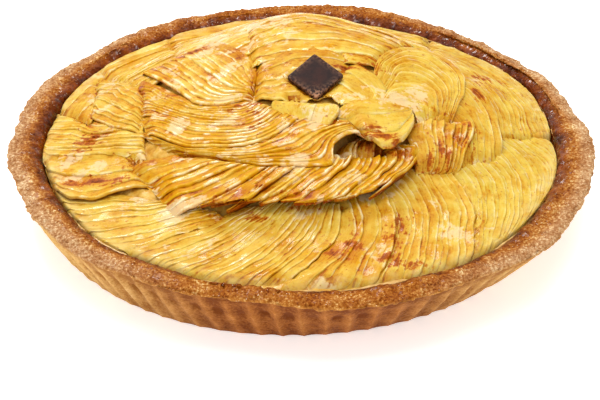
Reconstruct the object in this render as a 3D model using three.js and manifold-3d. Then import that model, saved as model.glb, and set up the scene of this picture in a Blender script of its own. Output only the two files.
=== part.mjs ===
// A baked apple tart: a fluted shortcrust shell heaped with fans of thin apple slices,
// with one small dark chocolate plaque on top. Millimetres, +Z up, flat base on z = 0.
import * as THREE from 'three';
import initManifold from 'manifold-3d';

const library = await initManifold();
library.setup();
const { Manifold, Mesh: SolidMesh } = library;

const FULL_TURN = 2 * Math.PI;
const CLEARANCE = 0.3; // gap left between neighbouring pieces

// ---------------------------------------------------------------- driving sizes

const crustSize = {
  height: 30, // top of the rim
  rimRadius: 130.9,
  rimWidth: 14, // flat band between the outer edge and the apples
  edgeDrop: 2.4, // the fluted side ends this far under the rim's top
  edgeOverhang: 1.2, // and this far inside the rim's outer edge
  baseRadius: 112.4,
  wallFoot: 7, // wall thickness at the floor
  fluteCount: 84,
  fluteDepth: 1.6,
  fluteLean: 0.015, // radians that a flute drifts sideways from base to rim
  floorThickness: 4,
};

// The heap of apples: level with the rim's inner edge, highest a little behind the middle.
const heap = {
  edgeHeight: 25,
  rise: 30,
  edgeRadius: 115,
  summit: new THREE.Vector2(2, 40),
  shoulder: 1.6,
  frontFill: 2.4, // the apples come this much further up the rim at the front
  frontReach: 14, // width of that fuller band
};

const slice = {
  crestLift: 1.6, // how far a slice's free edge stands above the valley beside it
  liftSpread: 0.3, // share by which that differs from slice to slice
  endFade: 0.35, // share of the lift that is left at a slice's two ends
  riser: 0.6, // plan width of the cut face that drops to the next slice
  stations: 6, // points along each slice edge
  petalStations: 5, // the same, on the short broad slices
  raggedness: 0.035, // share of a slice's length by which its ends differ
  foot: crustSize.floorThickness + 1, // the stack of slices goes down to this height
};
const unevennessSeed = 7; // picks this tart's own ragged ends and lifts

// The lower layer of apple, a smaller heap under the fans.
const bed = {
  depth: 6.5, // how far it lies under the heap's surface
  footShare: 0.94, // its foot, as a share of the way from the summit to the crust
  ringShares: [0.97, 0.85, 0.7, 0.52, 0.32],
  overReach: 2, // it is drawn this far into the crust and then cut back
  samples: 36,
};

// The crust's side and rim, as levels up the side and drops from the rim's height.
const rimShape = {
  sideLevels: [0, 0.45, 1],
  shoulderDrop: 1,
  crown: { insetShare: 0.35, rise: 0.4 },
  innerBevel: { width: 3, drop: 0.8 },
  innerDrop: 1, // the inner edge lies this far under the apples' edge
};
const rimSettle = 0.6; // the rim's mean height is this far under the nominal one

const skyHeight = 100; // higher than the whole tart

const plaqueSize = {
  side: 17.5,
  thickness: 2.6,
  bevel: 0.5,
  centre: new THREE.Vector3(8, -4, 57.6),
  tilt: 25, // degrees towards the front
  turn: 45, // degrees about its own upright
};

// ---------------------------------------------------------------- small helpers

/** Repeatable random numbers from 0 to 1. */
function seededRandom(seed) {
  let state = seed >>> 0;
  return () => {
    state = (state + 0x6d2b79f5) >>> 0;
    let mixed = Math.imul(state ^ (state >>> 15), 1 | state);
    mixed = (mixed + Math.imul(mixed ^ (mixed >>> 7), 61 | mixed)) ^ mixed;
    return ((mixed ^ (mixed >>> 14)) >>> 0) / 4294967296;
  };
}

/** Sum of cosines around the tart: terms are [waves per turn, size, phase]. */
function ripple(angle, terms) {
  return terms.reduce((sum, [waves, size, phase]) => sum + size * Math.cos(waves * angle + phase), 0);
}

function toSolid(positions, triangles) {
  return new Manifold(new SolidMesh({
    numProp: 3,
    vertProperties: Float32Array.from(positions.flat()),
    triVerts: Uint32Array.from(triangles.flat()),
  }));
}

function toGeometry(solid) {
  const mesh = solid.getMesh();
  const points = [];
  for (let i = 0; i < mesh.vertProperties.length; i += mesh.numProp) {
    points.push(mesh.vertProperties[i], mesh.vertProperties[i + 1], mesh.vertProperties[i + 2]);
  }
  const geometry = new THREE.BufferGeometry();
  geometry.setAttribute('position', new THREE.Float32BufferAttribute(points, 3));
  geometry.setIndex(Array.from(mesh.triVerts));
  geometry.computeVertexNormals();
  return geometry;
}

/** A cut can leave crumbs beside the piece; only the piece itself is kept. */
function largestBody(solid) {
  const bodies = solid.decompose();
  return bodies.reduce((best, body) => (body.volume() > best.volume() ? body : best));
}

/** Closed solid of rings that share a point count, from a lower middle to an upper middle point. */
function ringSolid(rings, lowerMiddle, upperMiddle) {
  const count = rings[0].length;
  const points = [lowerMiddle, ...rings.flat(), upperMiddle];
  const last = points.length - 1;
  const at = (ring, i) => 1 + ring * count + (i % count);
  const triangles = [];
  for (let i = 0; i < count; i += 1) {
    triangles.push([0, at(0, i + 1), at(0, i)]);
    for (let ring = 0; ring + 1 < rings.length; ring += 1) {
      triangles.push([at(ring, i), at(ring, i + 1), at(ring + 1, i + 1)]);
      triangles.push([at(ring, i), at(ring + 1, i + 1), at(ring + 1, i)]);
    }
    triangles.push([last, at(rings.length - 1, i), at(rings.length - 1, i + 1)]);
  }
  return toSolid(points, triangles);
}

// ---------------------------------------------------------------- crust

const rimUnevenness = [
  [1, 0.5, -1.97], [2, 4.8, 2.3], [3, 1.47, 2.12], [4, 0.5, 1.55], [5, 0.65, -0.6],
  [7, 0.42, -2.77], [9, 0.4, 0.4], [11, 0.55, 2.2], [17, 0.4, 1.1],
];
const rimHeightUnevenness = [[3, 0.4, 0.5], [8, 0.35, 2.6], [13, 0.3, 1.9]];
const innerUnevenness = [
  [0, 1.7, 0], [1, 0.74, -1.51], [2, 4.09, 2.46], [3, 0.48, -2.4], [4, 0.29, -1.85],
  [5, 0.43, -1.96], [9, 0.5, 2.9],
];

const rimRadiusAt = (angle) => crustSize.rimRadius + ripple(angle, rimUnevenness);
const rimHeightAt = (angle) => crustSize.height - rimSettle + ripple(angle, rimHeightUnevenness);
const innerRadiusAt = (angle) => heap.edgeRadius + ripple(angle, innerUnevenness);

/** Depth factor of each flute, so that no two look alike. */
const fluteUnevenness = [[5, 0.25, 0.8], [13, 0.3, 2.1], [23, 0.25, 0.2]];
const fluteStrengthAt = (angle) => 1 + ripple(angle, fluteUnevenness);

const wallFlare = 0.95; // below 1 the side bulges a little on its way out to the rim
const fluteFade = { least: 0.1, start: 0.12, run: 0.8 }; // flutes are shallow at the base, deepest halfway up

/** Radius of the side at a level from 0 (base) to 1 (rim); "flute" is 1 on a ridge, -1 in a groove. */
function sideRadius(angle, level, flute) {
  const { baseRadius, edgeOverhang, fluteDepth } = crustSize;
  const top = rimRadiusAt(angle) - edgeOverhang;
  const swell = Math.sin(Math.PI * Math.min(1, fluteFade.start + fluteFade.run * level));
  const depth = fluteDepth * THREE.MathUtils.lerp(fluteFade.least, 1, swell);
  const hollow = 0.5 * depth * flute * fluteStrengthAt(angle);
  return THREE.MathUtils.lerp(baseRadius, top, level ** wallFlare) + hollow;
}

/** Corners of the crust's section, from the base's edge round to the floor's edge. */
function crustSection(angle, flute) {
  const { edgeDrop, rimWidth, baseRadius, wallFoot, floorThickness } = crustSize;
  const { sideLevels, shoulderDrop, crown, innerBevel, innerDrop } = rimShape;
  const outer = rimRadiusAt(angle);
  const top = rimHeightAt(angle);
  const inner = innerRadiusAt(angle);
  const side = (level) => ({
    radius: sideRadius(angle, level, flute), z: level * (top - edgeDrop), level,
  });
  return [
    ...sideLevels.map(side),
    { radius: outer, z: top - shoulderDrop, level: 1 },
    { radius: outer - crown.insetShare * rimWidth, z: top + crown.rise, level: 1 },
    { radius: inner + innerBevel.width, z: top - innerBevel.drop, level: 1 },
    { radius: inner, z: heap.edgeHeight - innerDrop, level: 1 },
    { radius: baseRadius - wallFoot, z: floorThickness, level: 1 },
  ];
}

function makeCrust() {
  const samples = 2 * crustSize.fluteCount;
  const sections = Array.from({ length: samples }, (_, i) => {
    const angle = (FULL_TURN * i) / samples;
    const flute = i % 2 === 0 ? 1 : -1;
    return crustSection(angle, flute).map(({ radius, z, level }) => {
      const turned = angle + crustSize.fluteLean * level * Math.sin(angle);
      return [radius * Math.cos(turned), radius * Math.sin(turned), z];
    });
  });
  const rings = sections[0].map((_, corner) => sections.map((section) => section[corner]));
  return ringSolid(rings, [0, 0, 0], [0, 0, crustSize.floorThickness]);
}

/** The hollow of the shell, a clearance smaller, up to above the heap. */
function makeInnerSpace() {
  const samples = 72;
  const ring = (radiusAt, z) => Array.from({ length: samples }, (_, i) => {
    const angle = (FULL_TURN * i) / samples;
    const radius = radiusAt(angle) - 2 * CLEARANCE;
    return [radius * Math.cos(angle), radius * Math.sin(angle), z];
  });
  const foot = crustSize.baseRadius - crustSize.wallFoot;
  const floor = crustSize.floorThickness + CLEARANCE;
  const rings = [
    ring(() => foot, floor),
    ring(innerRadiusAt, heap.edgeHeight - rimShape.innerDrop),
    ring(innerRadiusAt, skyHeight),
  ];
  return ringSolid(rings, [0, 0, floor], [0, 0, skyHeight]);
}

// ---------------------------------------------------------------- the heap's surface

/** How much fuller the heap is at the front, where it meets the rim. */
function frontFillAt(x, y) {
  const radius = Math.max(1, Math.hypot(x, y));
  const facesFront = Math.max(0, -y / radius);
  const nearRim = Math.exp(-(((radius - heap.edgeRadius) / heap.frontReach) ** 2));
  return heap.frontFill * facesFront * nearRim;
}

/** Height of the heap, before any fan's own rise, at a place in plan. */
function heapHeight(x, y) {
  const { summit, edgeRadius, edgeHeight, rise, shoulder } = heap;
  const offset = new THREE.Vector2(x - summit.x, y - summit.y);
  const run = offset.length();
  if (run === 0) return edgeHeight + rise;
  const towards = offset.clone().divideScalar(run);
  const along = summit.dot(towards);
  const reach = -along + Math.sqrt(along * along - summit.lengthSq() + edgeRadius * edgeRadius);
  const fall = Math.max(0, 1 - (run / reach) ** 2);
  return edgeHeight + rise * fall ** shoulder + frontFillAt(x, y);
}

/** The lower layer: the same heap, a little lower, as rings about the summit. */
function makeBed(grow) {
  const drop = bed.depth - grow;
  const shell = (share) => Array.from({ length: bed.samples }, (_, i) => {
    const angle = (FULL_TURN * i) / bed.samples;
    const rimPoint = new THREE.Vector2(Math.cos(angle), Math.sin(angle));
    rimPoint.multiplyScalar(heap.edgeRadius + bed.overReach + 2 * grow);
    const place = rimPoint.lerp(heap.summit, 1 - share);
    return [place.x, place.y, heapHeight(place.x, place.y) - drop];
  });
  const { x, y } = heap.summit;
  const floor = crustSize.floorThickness + CLEARANCE;
  const foot = shell(bed.footShare).map(([px, py]) => [px, py, floor]);
  const rings = [foot, ...bed.ringShares.map(shell)];
  return ringSolid(rings, [x, y, floor], [x, y, heapHeight(x, y) - drop]);
}

// ---------------------------------------------------------------- apple fans

// Each fan is one sliced piece of apple, pressed flat. Its slices lie side by side from the
// first guide curve to the last, with every free edge towards the last; "middle" bows the
// family. The points are plan places in mm, and "rise" lifts the two ends of every slice above
// the heap. Later fans lie under earlier ones.
const fans = [
  { name: 'apple_petals_flap', slices: 3, rise: [7, 7],
    first: [[17, -27], [26, -22], [37, -21], [49, -21]],
    last: [[28, -38], [33, -43], [41, -43], [50, -27]] },
  { name: 'apple_petals_scallop', slices: 3, rise: [6, 6],
    first: [[-3, -31], [-6, -22], [-3, -18], [1, -17]],
    last: [[8, -38], [14, -29], [15, -21], [10, -16]] },
  { name: 'apple_petals_curl', slices: 3, rise: [6, 6],
    first: [[22, 9], [30, 1], [35, -9], [32, -22]],
    last: [[12, -12], [18, -17], [24, -21], [20, -27]] },
  { name: 'apple_petals_pale', slices: 3, rise: [6, 5],
    first: [[36, -29], [42, -17], [50, -14], [54, -24]],
    last: [[35, -21], [42, -1], [59, 2], [61, -18]] },
  { name: 'apple_fan_shell', slices: 8, rise: [5, 4],
    first: [[35, -21], [44, -1], [58, -1], [60, -22]],
    last: [[31, 5], [55, 40], [76, 24], [66, -21]] },
  { name: 'apple_fan_plateau', slices: 4, rise: [6, 6],
    first: [[-18, 5], [-9, 10], [2, 17], [24, 15]],
    last: [[-17, -15], [-7, -17], [5, -16], [24, -8]] },
  { name: 'apple_fan_top', slices: 6, rise: [6, 5],
    first: [[-24, 50], [0, 68], [32, 64], [62, 42]],
    last: [[-20, 8], [-5, 13], [19, 12], [39, 9]] },
  { name: 'apple_fan_bowl', slices: 8, rise: [5, 5],
    first: [[-42, 47], [-29, 25], [-21, 9], [-18, -5]],
    last: [[-72, 40], [-55, 7], [-40, -12], [-18, -13]] },
  { name: 'apple_fan_feathers_high', slices: 8, rise: [4, 5],
    first: [[-73, 30], [-52, -1], [-31, -16], [-18, -14]],
    last: [[-65, -20], [-40, -39], [-15, -40], [3, -25]] },
  { name: 'apple_fan_crest', slices: 6, rise: [4, 6],
    first: [[-65, -20], [-48, -36], [-30, -42], [-16, -39], [-6, -32], [8, -25]],
    middle: [[-55, -33], [-38, -45], [-20, -48], [-3, -47], [8, -39], [24, -32]],
    last: [[-47, -39], [-27, -50], [-7, -55], [11, -55], [15, -46], [32, -40]] },
  { name: 'apple_fan_feathers_low', slices: 7, rise: [3, 4],
    first: [[-69, -40], [-56, -41], [-43, -42], [-28, -49]],
    last: [[-50, -72], [-36, -67], [-24, -60], [-8, -50]] },
  { name: 'apple_fan_ruffle', slices: 6, rise: [4, 3],
    first: [[52, -21], [49, -32], [51, -41], [51, -50]],
    last: [[74, -14], [75, -24], [71, -35], [66, -45]] },
  { name: 'apple_slices_cave', slices: 3, rise: [-2, -1],
    first: [[15, -50], [15, -44], [18, -38], [24, -33]],
    last: [[34, -46], [35, -39], [35, -34], [36, -28]] },
  { name: 'apple_fan_cliff', slices: 13, rise: [6, 3],
    first: [[-42, -71], [-32, -64], [-22, -57], [-15, -52], [-8, -48]],
    middle: [[-1, -74], [6, -66], [15, -57], [18, -50], [16, -44]],
    last: [[31, -71], [42, -58], [48, -49], [49, -40], [45, -36]] },
  { name: 'apple_fan_right_petals', slices: 5, rise: [3, 2],
    first: [[64, -9], [70, -17], [72, -27], [70, -44]],
    last: [[75, 25], [84, 10], [88, -9], [88, -32]] },
  { name: 'apple_fan_stack', slices: 7, rise: [2, 3],
    first: [[-96, 57], [-87, 48], [-77, 29], [-66, 10]],
    last: [[-94, 14], [-87, 4], [-79, -6], [-68, -16]] },
  { name: 'apple_fan_back_slope', slices: 8, rise: [4, 4],
    first: [[-66, 106], [-45, 110], [-25, 116], [-5, 118]],
    last: [[-56, 20], [-40, 18], [-27, 20], [-12, 30]] },
  { name: 'apple_fan_back_left', slices: 8, rise: [3, 3],
    first: [[-98, 70], [-88, 82], [-78, 92], [-62, 104]],
    last: [[-76, 18], [-66, 20], [-57, 22], [-44, 30]] },
  { name: 'apple_fan_right_rim', slices: 10, rise: [1, 1],
    first: [[60, 44], [77, 30], [86, 5], [88, -18]],
    last: [[68, 98], [94, 74], [112, 36], [116, -2]] },
  { name: 'apple_fan_back', slices: 8, rise: [3, 2],
    first: [[-10, 118], [22, 118], [46, 110], [72, 94]],
    last: [[-22, 52], [2, 66], [32, 62], [58, 42]] },
  { name: 'apple_petals_left_back', slices: 3, rise: [1, 2],
    first: [[-114, 34], [-108, 52], [-101, 66], [-90, 80]],
    last: [[-93, 8], [-88, 24], [-82, 40], [-72, 48]] },
  { name: 'apple_petals_left_cups', slices: 3, rise: [1, 1],
    first: [[-113, -13], [-100, -21], [-90, -26], [-70, -32]],
    last: [[-106, -42], [-93, -50], [-83, -52], [-60, -52]] },
  { name: 'apple_fan_left', slices: 10, rise: [1, 2],
    first: [[-114, 36], [-98, 30], [-88, 18], [-70, 6]],
    last: [[-118, -14], [-103, -22], [-91, -29], [-64, -38]] },
  { name: 'apple_fan_front', slices: 13, rise: [0, -1],
    first: [[-70, -91], [-52, -84], [-37, -78], [-20, -68]],
    middle: [[-40, -108], [-25, -96], [-13, -84], [-2, -68]],
    last: [[-4, -114], [8, -96], [13, -86], [15, -70]] },
  { name: 'apple_fan_front_broad', slices: 5, rise: [-1, 0],
    first: [[12, -60], [16, -80], [11, -96], [-4, -118]],
    last: [[32, -58], [36, -74], [36, -89], [30, -116]] },
  { name: 'apple_fan_front_left', slices: 9, rise: [0, 0],
    first: [[-108, -42], [-88, -46], [-75, -53], [-58, -60]],
    last: [[-80, -92], [-62, -87], [-48, -81], [-28, -74]] },
  { name: 'apple_fan_front_right', slices: 8, rise: [-1, 0],
    first: [[30, -58], [36, -74], [36, -88], [28, -116]],
    last: [[56, -34], [66, -56], [69, -75], [66, -102]] },
  { name: 'apple_fan_right', slices: 12, rise: [0, 0],
    first: [[58, -34], [69, -54], [69, -70], [64, -102]],
    last: [[88, 8], [112, -12], [117, -42], [106, -72]] },
];

const guideCurve = (points) => new THREE.SplineCurve(points.map(([x, y]) => new THREE.Vector2(x, y)));

/** Plan place inside a fan: "across" counts from the first edge (0) to the last (1). */
function fanPlace(guides, across, along) {
  const first = guides.first.getPoint(along);
  const last = guides.last.getPoint(along);
  const middle = guides.middle ? guides.middle.getPoint(along) : first.clone().lerp(last, 0.5);
  return first.multiplyScalar((1 - across) * (1 - 2 * across))
    .add(middle.multiplyScalar(4 * across * (1 - across)))
    .add(last.multiplyScalar(across * (2 * across - 1)));
}

/** Rows of plan places with a lift: a crest and then the valley beside it, for each slice. */
function fanRows(fan, random) {
  const guides = {
    first: guideCurve(fan.first),
    last: guideCurve(fan.last),
    middle: fan.middle && guideCurve(fan.middle),
  };
  const width = fanPlace(guides, 0, 0.5).distanceTo(fanPlace(guides, 1, 0.5));
  const riserShare = slice.riser / width;
  const rows = [];
  for (let k = 0; k < fan.slices; k += 1) {
    const start = slice.raggedness * random();
    const end = 1 - slice.raggedness * random();
    const lift = slice.crestLift * (1 + slice.liftSpread * (2 * random() - 1));
    const valleyAt = k / fan.slices;
    const crestAt = (k + 1) / fan.slices - riserShare;
    for (const [across, height] of [[valleyAt, 0], [crestAt, lift]]) {
      rows.push({ guides, across, start, end, height });
    }
  }
  return rows;
}

function fanPoints(fan, rows) {
  const stations = fan.name.startsWith('apple_petals') ? slice.petalStations : slice.stations;
  return rows.map(({ guides, across, start, end, height }) => (
    Array.from({ length: stations }, (_, i) => {
      const share = i / (stations - 1);
      const place = fanPlace(guides, across, THREE.MathUtils.lerp(start, end, share));
      const fade = THREE.MathUtils.lerp(slice.endFade, 1, Math.sin(Math.PI * share));
      const rise = THREE.MathUtils.lerp(fan.rise[0], fan.rise[1], share);
      return [place.x, place.y, heapHeight(place.x, place.y) + rise + height * fade];
    })
  ));
}

/** The four corners of a grid of points, in plan. */
function gridCorners(grid) {
  const lastRow = grid[grid.length - 1];
  const corners = [grid[0][0], grid[0][grid[0].length - 1], lastRow[lastRow.length - 1], lastRow[0]];
  return corners.map(([x, y]) => new THREE.Vector2(x, y));
}

/** The fan as a block: its saw-toothed top over straight sides and a flat bottom. */
function fanBlock(grid, bottom) {
  const columns = grid[0].length;
  const rows = grid.length;
  const top = grid.flat();
  const points = [...top, ...top.map(([x, y]) => [x, y, bottom])];
  const above = (i, j) => i * columns + j;
  const below = (i, j) => top.length + above(i, j);
  const triangles = [];
  const quad = (a, b, c, d) => triangles.push([a, b, c], [a, c, d]);
  for (let i = 0; i + 1 < rows; i += 1) {
    for (let j = 0; j + 1 < columns; j += 1) {
      quad(above(i, j), above(i, j + 1), above(i + 1, j + 1), above(i + 1, j));
      quad(below(i, j), below(i + 1, j), below(i + 1, j + 1), below(i, j + 1));
    }
  }
  for (let j = 0; j + 1 < columns; j += 1) {
    quad(above(0, j), below(0, j), below(0, j + 1), above(0, j + 1));
    quad(above(rows - 1, j), above(rows - 1, j + 1), below(rows - 1, j + 1), below(rows - 1, j));
  }
  for (let i = 0; i + 1 < rows; i += 1) {
    quad(above(i, 0), above(i + 1, 0), below(i + 1, 0), below(i, 0));
    quad(above(i, columns - 1), below(i, columns - 1), below(i + 1, columns - 1), above(i + 1, columns - 1));
  }
  const facesUp = THREE.ShapeUtils.area(gridCorners(grid)) > 0;
  return toSolid(points, facesUp ? triangles : triangles.map(([a, b, c]) => [a, c, b]));
}

/** Everything above and below a fan's block, a clearance wider all round. */
function fanCutter(block) {
  const mitreLimit = 2;
  return block.project().offset(CLEARANCE, 'Miter', mitreLimit).extrude(skyHeight);
}

function makeFans(innerSpace, bedCutter, plaqueCutter) {
  const random = seededRandom(unevennessSeed);
  let taken = Manifold.union(bedCutter, plaqueCutter);
  return fans.map((fan) => {
    const grid = fanPoints(fan, fanRows(fan, random));
    const block = fanBlock(grid, slice.foot);
    const shape = largestBody(Manifold.intersection(block, innerSpace).subtract(taken));
    taken = Manifold.union(taken, fanCutter(block));
    return { name: fan.name, solid: shape };
  });
}

// ---------------------------------------------------------------- chocolate plaque

function makePlaque(grow) {
  const { side, thickness, bevel } = plaqueSize;
  const half = side / 2 + grow;
  const outer = [[-half, -half], [half, -half], [half, half], [-half, half]];
  const inner = outer.map(([x, y]) => [x * (1 - bevel / half), y * (1 - bevel / half)]);
  const low = -thickness / 2 - grow;
  const high = thickness / 2 + grow;
  const layer = (corners, z) => corners.map(([x, y]) => [x, y, z]);
  const rings = [
    layer(inner, low), layer(outer, low + bevel), layer(outer, high - bevel), layer(inner, high),
  ];
  return ringSolid(rings, [0, 0, low], [0, 0, high])
    .rotate([0, 0, plaqueSize.turn])
    .rotate([plaqueSize.tilt, 0, 0])
    .translate(plaqueSize.centre.toArray());
}

// ---------------------------------------------------------------- materials and assembly

const finish = {
  crust: new THREE.MeshStandardMaterial({ color: '#a9642e', roughness: 0.75, metalness: 0 }),
  apple: new THREE.MeshStandardMaterial({ color: '#eec45a', roughness: 0.3, metalness: 0 }),
  appleBed: new THREE.MeshStandardMaterial({ color: '#b97a1c', roughness: 0.45, metalness: 0 }),
  chocolate: new THREE.MeshStandardMaterial({ color: '#3a2620', roughness: 0.45, metalness: 0 }),
};

function namedMesh(name, solid, material) {
  const mesh = new THREE.Mesh(toGeometry(solid), material);
  mesh.name = name;
  return mesh;
}

/** Middle of the uneven rim's bounding box, which is the tart's own middle. */
function rimMiddle(crust) {
  const { min, max } = crust.boundingBox();
  return new THREE.Vector3((min[0] + max[0]) / 2, (min[1] + max[1]) / 2, 0);
}

const crust = makeCrust();
const innerSpace = makeInnerSpace();
const bedSolid = Manifold.intersection(makeBed(0), innerSpace);
const fanSolids = makeFans(innerSpace, makeBed(CLEARANCE), makePlaque(CLEARANCE));

const tart = new THREE.Group();
tart.name = 'apple_tart';
tart.add(namedMesh('crust', crust, finish.crust));
tart.add(namedMesh('apple_bed', bedSolid, finish.appleBed));
fanSolids.forEach(({ name, solid }) => tart.add(namedMesh(name, solid, finish.apple)));
tart.add(namedMesh('chocolate_plaque', makePlaque(0), finish.chocolate));
tart.position.copy(rimMiddle(crust).negate());

export default tart;
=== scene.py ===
"""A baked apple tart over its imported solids: fans of thin glazed apple slices in a fluted crust.

Shapes are worked out in millimetres in the tart's own plan, x to the right and y to the back,
and moved to the row's frame in metres when a mesh is made.
"""
import math

import bpy
import numpy as np
from mathutils import Matrix, Vector


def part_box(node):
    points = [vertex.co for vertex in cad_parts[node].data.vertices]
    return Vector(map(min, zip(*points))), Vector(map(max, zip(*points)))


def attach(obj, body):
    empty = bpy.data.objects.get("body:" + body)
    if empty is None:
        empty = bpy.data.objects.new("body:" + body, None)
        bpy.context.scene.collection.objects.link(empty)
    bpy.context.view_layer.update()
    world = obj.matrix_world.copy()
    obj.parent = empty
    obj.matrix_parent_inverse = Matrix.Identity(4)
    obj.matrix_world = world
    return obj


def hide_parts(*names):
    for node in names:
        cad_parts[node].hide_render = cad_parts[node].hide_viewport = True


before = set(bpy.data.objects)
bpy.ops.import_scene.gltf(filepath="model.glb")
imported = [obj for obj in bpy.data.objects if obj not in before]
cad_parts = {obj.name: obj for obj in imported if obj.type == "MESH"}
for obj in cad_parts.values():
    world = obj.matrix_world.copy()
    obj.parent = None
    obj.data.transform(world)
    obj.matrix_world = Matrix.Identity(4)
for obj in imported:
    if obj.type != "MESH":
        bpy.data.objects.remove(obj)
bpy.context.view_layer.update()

MM = 0.001
TAU = 2 * math.pi
TINY = 1e-6

# ---------------- driving sizes

CRUST = {
    "height": 30.0,
    "rim_radius": 130.9,
    "rim_drop": 0.6,  # the rim's mean height is this far under the crust's
    "edge_drop": 2.4,  # the fluted side ends this far under the rim's top
    "edge_overhang": 1.2,  # and this far inside the rim's outer edge
    "base_radius": 112.4,
    "side_bow": 0.95,  # below 1 the side is a little convex
    "wall_foot": 7.0,
    "inner_bend": 14.0,  # the height where the inner wall turns in towards its foot
    "flutes": 84,
    "flute_depth": 1.6,
    "flute_lean": 0.015,
    "floor": 4.0,
    "samples": 1200,  # points round the crust
    "side_levels": 15,  # corners up the fluted side
}
# Ripples round the tart: waves, size in mm and phase.
RIM_RIPPLE = [
    (1, 0.5, -1.97), (2, 4.8, 2.3), (3, 1.47, 2.12), (4, 0.5, 1.55), (5, 0.65, -0.6),
    (7, 0.42, -2.77), (9, 0.4, 0.4), (11, 0.55, 2.2), (17, 0.4, 1.1),
]
RIM_HEIGHT_RIPPLE = [(3, 0.4, 0.5), (8, 0.35, 2.6), (13, 0.3, 1.9)]
INNER_RIPPLE = [
    (0, 1.7, 0.0), (1, 0.74, -1.51), (2, 4.09, 2.46), (3, 0.48, -2.4), (4, 0.29, -1.85),
    (5, 0.43, -1.96), (9, 0.5, 2.9),
]
FLUTE_RIPPLE = [(5, 0.25, 0.8), (13, 0.3, 2.1), (23, 0.25, 0.2)]

# The crumb of the crust: relief in mm on the side, and as much more on the rim's top.
CRUMB = {"grain": (0.12, 0.3), "lumps": (0.22, 0.4), "crack": 0.9, "crack_width": 0.12}
# Pits in the hollows of the flutes, part way up the side.
PIT = {"level": 0.62, "spread": 0.1, "depth": 1.6, "seed": 77}

HEAP = {
    "edge_height": 25.0, "rise": 30.0, "edge_radius": 115.0, "shoulder": 1.6,
    "front_fill": 2.4,  # the apples come this much further up the rim at the front
    "front_reach": 14.0,
}
SUMMIT = np.array([2.0, 40.0])
# The heap's broad swells set in over these distances from the plaque and from the rim.
SWELL = {"clear_of_plaque": (9.0, 24.0), "clear_of_rim": 22.0}

PLAQUE = {
    "side": 17.5, "thickness": 2.6, "tilt": math.radians(25), "turn": math.radians(45),
    "edge_round": 0.5,
    "corner_power": 24,  # of the superellipse that rounds its corners
    "around": 96, "edge_steps": 7,
    "scuff_spread": 18.0,  # how far the scuffed corner reaches, in square mm
}
PLAQUE_PLACE = np.array([8.0, -4.0, 57.6])

SLICE = {
    "stations": 60,  # rings along a slice
    "tread": 8,  # section points on the upper side
    "edge": 5,  # section points round the free edge
    "under": 4,  # section points on the lower side
    "guide_steps": 25,  # points that measure its length
    "tuck": 4.0,  # how far a slice carries on under the one above it
    "nose": 0.4,  # how far its free edge bulges, as a share of its thickness
    "crown": 0.35,  # how convex its upper side is
    "sink": 3.0,  # how far the ends go down into what lies round them
    "sink_over": 9.0,  # the length of slice that takes
    "least_width": 2.0,  # of a whole fan where its guides meet
    "full_lift": 2.6,  # a slice that shows less than this lifts less
    "into_crust": 0.3,  # how far it may press into the crust's inner wall
    "press_over": 4.0,  # the width of slice that bends there
    "lift_varies": (0.5, 1.5),
    "thickness_varies": (0.85, 1.15),
    "cut_varies": (-0.34, 0.34),  # how unevenly a fan is cut, as a share of a slice
    "tone_varies": (-1, 1),
    "warmth_varies": (-0.1, 0.1),
}

FILM_OVER = (9.0, 1.0)  # a film of glaze grows over this stretch towards the crust
# How far the noise of one slice lies from the next one's, so that no two are alike.
SLICE_APART = {
    "slice_wander": 9.7, "slice_lift": 9.7, "slice_nicks": 3.1, "slice_wave": 2.1, "slice_frill": 5.3,
    "streaks": 11.3,
}
# How far below the plaque and a slice what lies under them stays, and the bed below them all.
CLEARANCE = {"plaque": 0.2, "slices": 0.25, "bed": 0.8}
# What is tucked under its neighbour, or sunk deeper than "most", doesn't hold lower slices down.
BURIED = {"tucked": 9.0, "most": 1.5}

BED = {
    "rings": 90, "around": 340,
    "gap": 0.6,  # to the crust's inner wall
    "mound": 5.0, "mound_over": (110, 50),  # its rise from the rim to the middle
    "drop": 2.5,
    "wall_gap": 2.8,
    "least": 1.0,  # over the crust's floor
    "foot": 0.5,
}
# Hollows in the bed under the lifted slices: plan place, spread across and back, depth in mm. The bed is
# also darkened in them by painted shade.
BED_HOLLOWS = [
    (25, -41, 13, 9, 9.0), (46, -39, 6, 5, 6.0), (8, -70, 16, 5, 3.0), (32, -72, 7, 4, 3.0),
    (-20, -74, 14, 5, 3.0),
]

GLAZE = {
    "rings": 260, "around": 8, "into_crust": 0.3, "rise": 0.6, "flatness": 0.55,
    "bead": 0.55, "least": 0.05, "most": 1.6,
}
# Runs of set glaze where the apples meet the crust: name, from and to in radians, and size in mm.
GLAZE_RUNS = [
    ("glaze_front", -2.6, -0.75, 1.2), ("glaze_right", -0.5, 0.75, 1.1), ("glaze_back", 0.9, 2.3, 1.0),
]

# Unevenness by noise: its strength, how far its largest swells are apart in mm, octaves and seed.
NOISE = {
    "heap_swell": (1.1, 27.0, 2, 51),
    "rim_ragged": (1.0, 5.0, 3, 5),
    "rim_swell": (1.0, 14.0, 2, 9),
    "crust_grain": (1.0, 1.7, 2, 21),
    "crust_lumps": (1.0, 6.0, 3, 33),
    "crust_cracks": (1.0, 9.0, 3, 41),
    "warp_x": (1.1, 17.0, 2, 91),
    "warp_x_fine": (0.3, 5.0, 1, 95),
    "warp_y": (1.1, 17.0, 2, 97),
    "warp_y_fine": (0.3, 5.0, 1, 101),
    "slice_wander": (0.2, 15.0, 2, 3),
    "slice_lift": (0.5, 19.0, 2, 11),
    "slice_nicks": (0.3, 3.0, 2, 69),
    "slice_wave": (0.3, 10.0, 2, 57),
    "slice_frill": (0.3, 4.0, 2, 63),
    "slice_grain": (1.0, 2.4, 2, 81),
    "bed_lumps": (0.7, 7.0, 3, 61),
    "glaze_beads": (1.1, 9.0, 3, 71),
    "glaze_wobble": (0.7, 12.0, 2, 75),
}
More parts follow.
